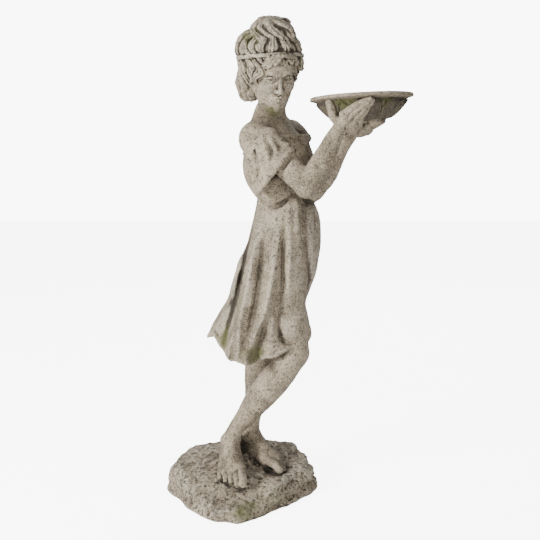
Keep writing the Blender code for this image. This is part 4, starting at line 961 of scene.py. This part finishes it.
def relief(mesh, rounds):
    # how far each point lies below (+) or above (-) its surroundings, along its normal
    points, normals = coordinates(mesh), coordinates(mesh, True)
    pairs = np.empty(len(mesh.edges) * 2, np.int64)
    mesh.edges.foreach_get("vertices", pairs)
    a, b = pairs.reshape(-1, 2).T
    ends, others = np.concatenate([a, b]), np.concatenate([b, a])
    count = np.maximum(np.bincount(ends, minlength=len(points)), 1)[:, None]
    smooth, found = points.copy(), []
    for step in range(max(rounds)):
        smooth = np.stack([np.bincount(ends, smooth[others, i], len(points)) for i in range(3)], 1) / count
        if step + 1 in rounds:
            found.append(((smooth - points) * normals).sum(1))
    return found


def storeFloats(mesh, name, values):
    attribute = mesh.attributes.new(name, "FLOAT", "POINT")
    attribute.data.foreach_set("value", np.clip(values, 0.0, 1.0).astype(np.float32))


# moss: middle in the pose's millimetres, reach, strength
mossSpots = (
    ((24, -86, 330), 34, 1.0), ((-34, -50, 352), 34, 0.8), ((-12, -72, 430), 34, 0.7), ((-2, -76, 500), 26, 0.5),
    ((70, -40, 812), 26, 0.7), ((108, -74, 690), 26, 0.7), ((60, -80, 650), 26, 0.6), ((22, -100, 700), 30, 0.6),
    ((20, -60, 955), 30, 0.7), ((22, -84, 905), 24, 0.5), ((112, -50, 905), 22, 0.5), ((12, -80, 860), 26, 0.5),
    ((100, -80, 600), 40, 0.5), ((10, -130, 22), 50, 0.8), ((70, -90, 30), 40, 0.7), ((-60, -110, 22), 40, 0.5),
    ((90, -50, 24), 40, 0.5), ((0, 90, 360), 60, 0.5), ((10, 70, 700), 50, 0.4), ((60, 80, 40), 60, 0.5),
)


def weathered(obj, clay):
    # wears the surface, then stores where it is hollow (painted shade), where it stands out (paler worn edges with
    # painted highlight) and where moss has taken
    mesh = obj.data
    points, normals = coordinates(mesh), coordinates(mesh, True)
    coarse, fine = Noise(5), Noise(6)
    worn = figure["weathering"] * (coarse(points, 0.011) + 0.7 * fine(points, 0.005))
    pits = np.maximum(0.0, fine(points + 0.7, 0.0042) - 0.45) / 0.55
    onRock = 1.0 - smoothStep(0.0004, 0.0022, abs(rockDistance(points)))
    broken = Noise(8)
    hewn = 1.0 - abs(broken(points, 0.013)) * 2.4 + 0.8 * coarse(points + 0.3, 0.006) - 0.9 * pits
    hair = np.exp(-(((points - face(0.0, -0.2, 0.3)) / (0.62 * headHeight)) ** 4).sum(1))
    hair *= 1.0 - np.exp(-(((points - face(0.0, 0.3, -0.1)) / (0.36 * headHeight)) ** 4).sum(1))
    worn += onRock * rock["roughness"] * hewn + hair * figure["curls"] * coarse(points + 0.9, 0.0085)
    keep = 1.0 - 0.7 * np.exp(-(((points - face(0.0, 0.3, -0.1)) / (0.36 * headHeight)) ** 2).sum(1))
    worn *= keep
    points = points + normals * (worn - keep * figure["pitting"] * pits * pits)[:, None] * (points[:, 2:] > 0.0004)
    mesh.vertices.foreach_set("co", points.astype(np.float32).ravel())
    mesh.update()
    near, wide, inner = 0.004, 0.016, 0.004
    tries = np.vstack([points + normals * near, points + normals * wide, points - normals * inner])
    a, b, c = np.split(measuredAt(clay, tries), 3)
    face_ = np.exp(-(((points - face(0.0, 0.3, -0.1)) / (0.34 * headHeight)) ** 2).sum(1))
    close, broad = np.clip(a / near, 0, 1), np.clip(b / wide, 0, 1)
    # relief along the normal, made stronger on the face and in the hair: it drives painted shade in dips and painted
    # highlight on ridges
    fine, large = relief(mesh, (5, 36))
    finer = 1.0 + 1.5 * hair + 4.0 * face_
    dips = 0.10 * np.clip(finer * fine / 0.00040, -1, 1.5) + 0.12 * np.clip(finer * large / 0.0020, -1, 1.5)
    dips *= 1.0 + 0.9 * hair + 1.1 * face_
    # hollow: painted shade where the surface is hemmed in (creases, folds, eye sockets), weaker on the face
    storeFloats(mesh, "hollow", 1.04 - 0.58 * close - 0.52 * broad - 0.35 * face_ + 0.05 * hair + dips)
    # edge: paler thin edges and worn ridges, partly painted highlight on raised folds and the face; also paler on the
    # rock and in a patch at the front of the skirt
    paleSkirtFront = np.exp(-(((points - at(45, -75, 470)) / (150 * mmScale)) ** 2).sum(1))
    storeFloats(mesh, "edge", 1.0 + 0.9 * c / inner - 1.5 * dips + 0.30 * paleSkirtFront + 0.25 * onRock + 0.25 * face_)
    moss = np.zeros(len(points))
    for spot, reach, strength in mossSpots:
        away = (points - at(*spot)) / (reach * mmScale)
        moss = np.maximum(moss, strength * np.exp(-(away * away).sum(1)))
    storeFloats(mesh, "moss", moss)
    storeFloats(mesh, "broken", onRock)


# node helpers

def node(tree, kind, inputs=None, **settings):
    made = tree.nodes.new(kind)
    made.location = (190 * (len(tree.nodes) % 9), -210 * (len(tree.nodes) // 9))
    for key, value in settings.items():
        setattr(made, key, value)
    for key, value in (inputs or {}).items():
        if isinstance(value, bpy.types.NodeSocket):
            tree.links.new(value, made.inputs[key])
        else:
            made.inputs[key].default_value = value
    return made


def calc(tree, operation, *values):
    return node(tree, "ShaderNodeMath", dict(enumerate(values)), operation=operation).outputs[0]


def ranged(tree, value, low, high, first=0.0, last=1.0):
    limits = {"Value": value, "From Min": low, "From Max": high, "To Min": first, "To Max": last}
    return node(tree, "ShaderNodeMapRange", limits, interpolation_type="SMOOTHSTEP").outputs[0]


def mixed(tree, share, first, second, blend="MIX"):
    made = node(tree, "ShaderNodeMix", {0: share, 6: first, 7: second}, data_type="RGBA", blend_type=blend)
    return made.outputs[2]


# stone

stoneLook = {
    "pale": (0.315, 0.260, 0.188, 1.0),
    "dark": (0.150, 0.122, 0.084, 1.0),
    "moss": (0.070, 0.074, 0.018, 1.0),
    "poreScale": 340.0,
    "mossAmount": 1.0,
    "dirtAmount": 1.0,
    "bump": 0.0018,
}


def weatheredStone():
    group = bpy.data.node_groups.new("weathered stone", "ShaderNodeTree")
    for name, kind in (("Pale", "Color"), ("Dark", "Color"), ("Moss", "Color"), ("Pore Scale", "Float"),
                       ("Moss Amount", "Float"), ("Dirt And Shade Amount", "Float")):
        group.interface.new_socket(name, in_out="INPUT", socket_type="NodeSocket" + kind)
    for name, kind in (("Color", "Color"), ("Roughness", "Float"), ("Height", "Float")):
        group.interface.new_socket(name, in_out="OUTPUT", socket_type="NodeSocket" + kind)
    given = node(group, "NodeGroupInput").outputs
    place = node(group, "ShaderNodeTexCoord").outputs["Object"]

    def noise(scale, detail=3.0, rough=0.6, distortion=0.0):
        return node(group, "ShaderNodeTexNoise", {"Vector": place, "Scale": scale, "Detail": detail,
                                                  "Roughness": rough, "Distortion": distortion}).outputs[0]

    def attribute(name):
        return node(group, "ShaderNodeAttribute", attribute_name=name).outputs["Fac"]
    hollow, edge, moss, broken = (attribute(name) for name in ("hollow", "edge", "moss", "broken"))
    broad, patches, grain = noise(7.0), noise(26.0, 5.0, 0.65), noise(given["Pore Scale"], 3.0, 0.75)
    pores = ranged(group, noise(calc(group, "MULTIPLY", given["Pore Scale"], 0.5), 2.0, 0.6, 0.3), 0.60, 0.68)
    tone = calc(group, "ADD", calc(group, "MULTIPLY", broad, 0.35), calc(group, "MULTIPLY", patches, 0.65))
    stone = mixed(group, ranged(group, tone, 0.40, 0.60), given["Dark"], given["Pale"])
    # paler stone where edge is high: worn edges, partly painted highlight on ridges and the face
    stone = mixed(group, ranged(group, edge, 0.40, 1.25, 0.0, 0.70), stone, (0.44, 0.395, 0.315, 1.0))
    stone = mixed(group, ranged(group, grain, 0.52, 0.66, 0.0, 0.60), stone, (0.50, 0.44, 0.355, 1.0))
    stone = mixed(group, ranged(group, grain, 0.37, 0.47, 0.80, 0.0), stone, (0.050, 0.040, 0.027, 1.0))
    stone = mixed(group, calc(group, "MULTIPLY", pores, 0.70), stone, (0.018, 0.014, 0.010, 1.0))
    holes = calc(group, "MULTIPLY", ranged(group, noise(150.0, 3.0, 0.6), 0.49, 0.37), calc(group, "MULTIPLY", broken, 0.85))
    stone = mixed(group, holes, stone, (0.030, 0.024, 0.015, 1.0))
    # dark mix in hollows and creases: painted shade, with random patches of dirt
    dirt = calc(group, "MULTIPLY", ranged(group, calc(group, "ADD", hollow, calc(group, "MULTIPLY", patches, 0.30)),
                                          0.34, 1.00, 0.0, 0.92), given["Dirt And Shade Amount"])
    stone = mixed(group, dirt, stone, (0.024, 0.019, 0.012, 1.0))
    taken = calc(group, "ADD", calc(group, "MULTIPLY", moss, 1.1), calc(group, "MULTIPLY", hollow, 0.35))
    taken = calc(group, "ADD", taken, calc(group, "MULTIPLY", calc(group, "SUBTRACT", patches, 0.5), 1.5))
    grown = calc(group, "MULTIPLY", ranged(group, taken, 0.45, 1.15, 0.0, 0.85), given["Moss Amount"])
    stone = mixed(group, calc(group, "MULTIPLY", grown, ranged(group, grain, 0.3, 0.6, 0.5, 1.0)), stone, given["Moss"])
    chips = calc(group, "MULTIPLY", noise(110.0, 4.0, 0.6), calc(group, "ADD", 0.5, calc(group, "MULTIPLY", broken, 1.5)))
    height = calc(group, "SUBTRACT", calc(group, "ADD", calc(group, "MULTIPLY", grain, 0.6), chips),
                  calc(group, "MULTIPLY", pores, 0.8))
    node(group, "NodeGroupOutput", {"Color": stone, "Roughness": ranged(group, grain, 0.2, 0.8, 0.98, 0.86),
                                    "Height": height})
    return group


def stoneMaterial(name, group, **changes):
    look = {**stoneLook, **changes}
    material = bpy.data.materials.new(name)
    material.use_nodes = True
    tree = material.node_tree
    shader = tree.nodes["Principled BSDF"]
    inputs = {"Pale": look["pale"], "Dark": look["dark"], "Moss": look["moss"], "Pore Scale": look["poreScale"],
              "Moss Amount": look["mossAmount"], "Dirt And Shade Amount": look["dirtAmount"]}
    surface = tree.nodes.new("ShaderNodeGroup")
    surface.node_tree = group
    for key, value in inputs.items():
        surface.inputs[key].default_value = value
    bump = node(tree, "ShaderNodeBump", {"Height": surface.outputs["Height"], "Distance": look["bump"]})
    tree.links.new(surface.outputs["Color"], shader.inputs["Base Color"])
    tree.links.new(surface.outputs["Roughness"], shader.inputs["Roughness"])
    tree.links.new(bump.outputs["Normal"], shader.inputs["Normal"])
    return material


def fineSpots():
    # first the whole head, the hands and the feet, then the face and the fringe once more
    head = (Vector(face(0.0, -0.08, 0.1)), 0.62 * headHeight)
    hands = [(Vector(on), 0.052) for on in (onBowl(246, 0.75, 8 * mmScale), onBowl(60, 0.8, 4 * mmScale))]
    feet = [(Vector(at(x, y, z)), 0.046) for x, y, z in ((-24, -36, 72), (52, 36, 68))]
    return ([head] + hands + feet, [(Vector(face(0.0, 0.34, -0.05)), 0.31 * headHeight)])


def makeFigure(material):
    clay = figureClay()
    grid, low = sampled(clay, figure["cell"])
    points, faces = skinned(grid, low, figure["cell"])
    print("figure skinned:", len(faces), "triangles")
    obj = objectOf("figure_and_rock", meshOf("figure_and_rock", points, faces), material)
    thin = obj.modifiers.new("fewer faces where it is smooth", "DECIMATE")
    thin.ratio = figure["triangles"] / len(faces)
    mesh = settled(obj)
    flatBottom(mesh)
    for spots in fineSpots():
        split(mesh, spots)
    withoutFlaps(mesh)
    settle(mesh, clay)
    weathered(obj, clay)
    obj.data.shade_smooth()
    print("figure carved:", len(obj.data.polygons), "faces")
    return obj


# bowl by nodes

def bowlProfile():
    # radius and height, from the middle of the underside over the lip and down inside to the middle
    soft = 0.0012
    points = [(0.0, -bowl["depth"]), (bowl["footRadius"] - soft, -bowl["depth"]),
              (bowl["footRadius"], -bowl["depth"] + soft), (bowl["footRadius"], -bodyEnd)]
    span = bodyEnd - bowl["flareDrop"]
    for t in np.linspace(0.03, 1.0, 40) ** 1.6:
        points.append((bowlRadius(bodyEnd - span * t), -(bodyEnd - span * t)))
    for drop in np.linspace(bowl["flareDrop"], bowl["lip"], 12)[1:]:
        points.append((bowlRadius(drop), -drop))
    half = bowl["lip"] / 2
    points += [(rimRadius - half + half * math.cos(a), -half + half * math.sin(a))
               for a in np.radians(range(-75, 91, 15))]
    innerRadius = bodyRadius - bowl["wall"]
    floor = bodyEnd - bowl["wall"]
    flareStart = rimRadius - 2.2 * half
    for t in np.linspace(0.0, 1.0, 8)[1:]:
        points.append((flareStart + (innerRadius - flareStart) * t, -bowl["flareDrop"] * t ** 1.8))
    for t in np.linspace(0.0, math.pi / 2, 30)[1:-1]:
        points.append((innerRadius * math.cos(t) ** 0.8, -bowl["flareDrop"] - (floor - bowl["flareDrop"]) * math.sin(t)))
    return points + [(0.0, -floor)]


def turnedBowl(material):
    # a grid is rolled round the profile, with lotus petals raised on the outer wall
    tree = bpy.data.node_groups.new("turned bowl with petals", "GeometryNodeTree")
    tree.is_modifier = True
    inputs = {"Profile": "Object", "Segments": "Int", "Rows": "Int", "Petals": "Float", "Relief": "Float",
              "Body Top": "Float", "Body Bottom": "Float", "Outer Share": "Float", "Wear": "Float",
              "Centre": "Vector", "Turn": "Vector"}
    for name, kind in inputs.items():
        tree.interface.new_socket(name, in_out="INPUT", socket_type="NodeSocket" + kind)
    tree.interface.new_socket("Geometry", in_out="OUTPUT", socket_type="NodeSocketGeometry")
    given = node(tree, "NodeGroupInput").outputs
    sheet = node(tree, "GeometryNodeMeshGrid", {"Size X": 1.0, "Size Y": 1.0, "Vertices X": given["Segments"],
                                                "Vertices Y": given["Rows"]})
    place = node(tree, "ShaderNodeSeparateXYZ", {0: node(tree, "GeometryNodeInputPosition").outputs[0]})
    around = calc(tree, "ADD", place.outputs[0], 0.5)
    along = calc(tree, "ADD", place.outputs[1], 0.5)
    curve = node(tree, "GeometryNodeObjectInfo", {"Object": given["Profile"]}).outputs["Geometry"]
    sample = node(tree, "GeometryNodeSampleCurve", {"Curves": curve, "Factor": along}, mode="FACTOR")
    point = node(tree, "ShaderNodeSeparateXYZ", {0: sample.outputs["Position"]}).outputs
    drop = calc(tree, "MULTIPLY", point[2], -1.0)
    share = node(tree, "ShaderNodeMapRange", {"Value": drop, "From Min": given["Body Top"],
                                              "From Max": given["Body Bottom"]}).outputs[0]
    outer = calc(tree, "LESS_THAN", along, given["Outer Share"])

    def petals(shift, widest, begin):
        # 1 on the petal's raised edge, less on its face, 0 between the petals
        turn = calc(tree, "FRACT", calc(tree, "ADD", calc(tree, "MULTIPLY", around, given["Petals"]), shift))
        turn = calc(tree, "ABSOLUTE", calc(tree, "SUBTRACT", turn, 0.5))
        open_ = calc(tree, "SQRT", ranged(tree, share, begin, begin + 0.55))
        inside = calc(tree, "SUBTRACT", calc(tree, "MULTIPLY", open_, widest), turn)
        face = ranged(tree, inside, -0.03, 0.02)
        hollow = ranged(tree, inside, 0.06, 0.16, 0.0, 0.70)
        return calc(tree, "SUBTRACT", face, hollow)
    first = petals(0.0, 0.47, 0.0)
    second = calc(tree, "MULTIPLY", petals(0.5, 0.30, 0.02), 0.45)
    raised = calc(tree, "MAXIMUM", first, second)
    fade = calc(tree, "MULTIPLY", ranged(tree, share, 0.98, 0.85), outer)
    fade = calc(tree, "MULTIPLY", fade, ranged(tree, share, -0.02, 0.01))
    raised = calc(tree, "MULTIPLY", raised, fade)
    radius = calc(tree, "ADD", point[0], calc(tree, "MULTIPLY", raised, given["Relief"]))
    angle = calc(tree, "MULTIPLY", around, math.tau)
    x = calc(tree, "MULTIPLY", radius, calc(tree, "COSINE", angle))
    y = calc(tree, "MULTIPLY", radius, calc(tree, "SINE", angle))
    rolled = node(tree, "ShaderNodeCombineXYZ", {0: x, 1: y, 2: point[2]}).outputs[0]
    worn = node(tree, "ShaderNodeTexNoise", {"Vector": rolled, "Scale": 70.0, "Detail": 3.0}).outputs["Color"]
    worn = node(tree, "ShaderNodeVectorMath", {0: worn, 1: (0.5, 0.5, 0.5)}, operation="SUBTRACT").outputs[0]
    worn = node(tree, "ShaderNodeVectorMath", {0: worn, "Scale": given["Wear"]}, operation="SCALE").outputs[0]
    worn = node(tree, "ShaderNodeVectorMath", {0: rolled, 1: worn}, operation="ADD").outputs[0]
    placed = node(tree, "GeometryNodeSetPosition", {"Geometry": sheet.outputs["Mesh"], "Position": worn})
    stored = node(tree, "GeometryNodeStoreNamedAttribute", {"Geometry": placed.outputs[0], "Name": "petal",
                                                            "Value": raised}, data_type="FLOAT", domain="POINT")
    closed = node(tree, "GeometryNodeMergeByDistance", {"Geometry": stored.outputs[0], "Distance": 0.00005})
    tipped = node(tree, "GeometryNodeTransform", {"Geometry": closed.outputs[0], "Translation": given["Centre"],
                                                  "Rotation": given["Turn"]})
    real = node(tree, "GeometryNodeRealizeInstances", {"Geometry": tipped.outputs[0]})
    finished = node(tree, "GeometryNodeSetMaterial", {"Geometry": real.outputs[0], "Material": material})
    node(tree, "NodeGroupOutput", {"Geometry": finished.outputs[0]})
    return tree


def makeBowl(material):
    profile = bowlProfile()
    line = bpy.data.curves.new("bowl profile", "CURVE")
    line.dimensions = "3D"
    spline = line.splines.new("POLY")
    spline.points.add(len(profile) - 1)
    for spot, (r, z) in zip(spline.points, profile):
        spot.co = (r, 0.0, z, 1.0)
    profileObject = bpy.data.objects.new("bowl profile", line)
    bpy.context.scene.collection.objects.link(profileObject)
    lengths = np.cumsum([0.0] + [math.dist(a, b) for a, b in zip(profile, profile[1:])])
    lipAt = max(range(len(profile)), key=lambda i: profile[i][0])
    values = {
        "Profile": profileObject, "Segments": bowl["segments"] + 1, "Rows": bowl["rows"],
        "Petals": float(bowl["petals"]), "Relief": bowl["petalRelief"], "Body Top": bowl["flareDrop"],
        "Body Bottom": bodyEnd, "Outer Share": float(lengths[lipAt] / lengths[-1]), "Wear": bowl["wear"],
        "Centre": tuple(bowlCentre), "Turn": (0.0, -bowl["tilt"], 0.0),
    }
    obj = objectOf("bowl_with_petals", bpy.data.meshes.new("bowl_with_petals"), material)
    turned = obj.modifiers.new("turned", "NODES")
    turned.node_group = turnedBowl(material)
    for item in turned.node_group.interface.items_tree:
        if item.in_out == "INPUT":
            turned[item.identifier] = values[item.name]
    mesh = settled(obj)
    bpy.data.objects.remove(profileObject)
    bm = bmesh.new()
    bm.from_mesh(mesh)
    if bm.calc_volume(signed=True) < 0.0:
        bmesh.ops.reverse_faces(bm, faces=bm.faces)
    bmesh.ops.triangulate(bm, faces=bm.faces)
    bm.to_mesh(mesh)
    bm.free()
    mesh.shade_smooth()
    bowlMarks(mesh)
    print("bowl turned:", len(mesh.polygons), "faces")
    return obj


def bowlMarks(mesh):
    # where the bowl is hollow (painted shade), stands out (paler lip and petal edges, partly painted highlight) and is
    # mossy, for the stone's nodes
    points = coordinates(mesh) - bowlCentre
    c, s = math.cos(bowl["tilt"]), math.sin(bowl["tilt"])
    level = np.stack([points[:, 0] * c + points[:, 2] * s, points[:, 1], points[:, 2] * c - points[:, 0] * s], 1)
    radius, drop = np.hypot(level[:, 0], level[:, 1]), -level[:, 2]
    petal = np.empty(len(mesh.vertices), np.float32)
    mesh.attributes["petal"].data.foreach_get("value", petal)
    outerRadius = np.array([bowlRadius(max(d, 0.0)) for d in drop])
    outside = smoothStep(-0.003, -0.001, radius - outerRadius)
    onBody = outside * smoothStep(0.009, 0.014, drop) * (1.0 - smoothStep(0.049, 0.053, drop))
    underLip = outside * np.exp(-((drop - 0.011) / 0.005) ** 2)
    # hollow: painted shade between the petals and under the lip, and darker inside the bowl
    storeFloats(mesh, "hollow", 0.65 * onBody * (1.0 - petal) + 0.5 * underLip + 0.2 * (1.0 - outside))
    # edge: paler worn lip and petal ridges, partly painted highlight
    lip = np.exp(-((radius - rimRadius) / 0.0025) ** 2) * (drop < 0.008)
    ridge = onBody * smoothStep(0.6, 0.9, petal)
    storeFloats(mesh, "edge", 0.5 * lip + 1.8 * ridge)
    angle = np.degrees(np.arctan2(level[:, 1], level[:, 0])) % 360.0
    thumbSide = np.exp(-((angle - 240.0) / 16.0) ** 2)
    farSide = 0.6 * np.exp(-((angle - 296.0) / 14.0) ** 2)
    inside = (1.0 - outside) * smoothStep(0.03, 0.045, drop)
    storeFloats(mesh, "moss", (0.62 * onBody + 0.4 * underLip) * (thumbSide + farSide) * (1.0 - 0.8 * ridge)
                + 0.5 * inside)


# stage, lights and camera

stage = {"floorSize": 14.0, "floorColour": (0.90, 0.895, 0.885, 1.0), "sky": 0.36, "skySeen": 9.0, "floorGlow": 7.0}


def makeStage():
    mesh = bpy.data.meshes.new("floor")
    half = stage["floorSize"] / 2
    mesh.from_pydata([(-half, -half, 0), (half, -half, 0), (half, half, 0), (-half, half, 0)], [], [(0, 1, 2, 3)])
    material = bpy.data.materials.new("pale floor")
    material.use_nodes = True
    material.node_tree.nodes["Principled BSDF"].inputs["Base Color"].default_value = stage["floorColour"]
    shader = material.node_tree.nodes["Principled BSDF"]
    shader.inputs["Roughness"].default_value = 0.9
    shader.inputs["Emission Color"].default_value = (1.0, 0.995, 0.985, 1.0)
    seen = node(material.node_tree, "ShaderNodeLightPath").outputs["Is Camera Ray"]
    material.node_tree.links.new(calc(material.node_tree, "MULTIPLY", seen, stage["floorGlow"]),
                                 shader.inputs["Emission Strength"])
    floor = objectOf("floor", mesh, material)
    world = bpy.data.worlds.new("studio")
    world.use_nodes = True
    world.node_tree.nodes["Background"].inputs["Color"].default_value = (1.0, 1.0, 1.0, 1.0)
    seen = node(world.node_tree, "ShaderNodeLightPath").outputs["Is Camera Ray"]
    strength = ranged(world.node_tree, seen, 0.0, 1.0, stage["sky"], stage["skySeen"])
    world.node_tree.links.new(strength, world.node_tree.nodes["Background"].inputs["Strength"])
    bpy.context.scene.world = world
    return floor


lights = (
    # name, place, size, watts, colour
    ("key", (-2.2, -1.7, 1.3), 0.6, 175.0, (1.0, 0.98, 0.95)),
    ("fill", (1.9, -1.6, 1.4), 1.8, 10.0, (0.98, 0.98, 1.0)),
    ("low", (0.5, -2.4, 0.2), 1.2, 34.0, (1.0, 0.98, 0.95)),
    ("back", (0.6, 2.2, 2.2), 1.6, 45.0, (1.0, 1.0, 1.0)),
)


def makeLights():
    for name, place, size, watts, colour in lights:
        lamp = bpy.data.lights.new(name, "AREA")
        lamp.energy, lamp.size, lamp.color = watts, size, colour
        obj = bpy.data.objects.new(name, lamp)
        obj.location = place
        obj.rotation_euler = (Vector((0.05, 0.0, 0.5)) - Vector(place)).to_track_quat("-Z", "Y").to_euler()
        bpy.context.scene.collection.objects.link(obj)


camera = {"place": (0.060, -1.545, 0.727), "down": math.radians(8.6), "lens": 50.0}


def makeCamera():
    view = bpy.data.cameras.new("camera")
    view.lens, view.sensor_width = camera["lens"], 36.0
    obj = bpy.data.objects.new("camera", view)
    obj.location = camera["place"]
    obj.rotation_euler = (math.pi / 2 - camera["down"], 0.0, 0.0)
    bpy.context.scene.collection.objects.link(obj)
    bpy.context.scene.camera = obj


def main():
    group = weatheredStone()
    figureObject = makeFigure(stoneMaterial("weathered cast stone", group))
    bowlObject = makeBowl(stoneMaterial("weathered cast stone, bowl", group, dirtAmount=1.0))
    for obj, nodeName, slotName in ((figureObject, "figure_on_rock", "figure_stone"),
                                    (bowlObject, "bowl", "bowl_stone")):
        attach(obj, "root")
        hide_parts(nodeName)
    makeStage()
    makeLights()
    makeCamera()


main()
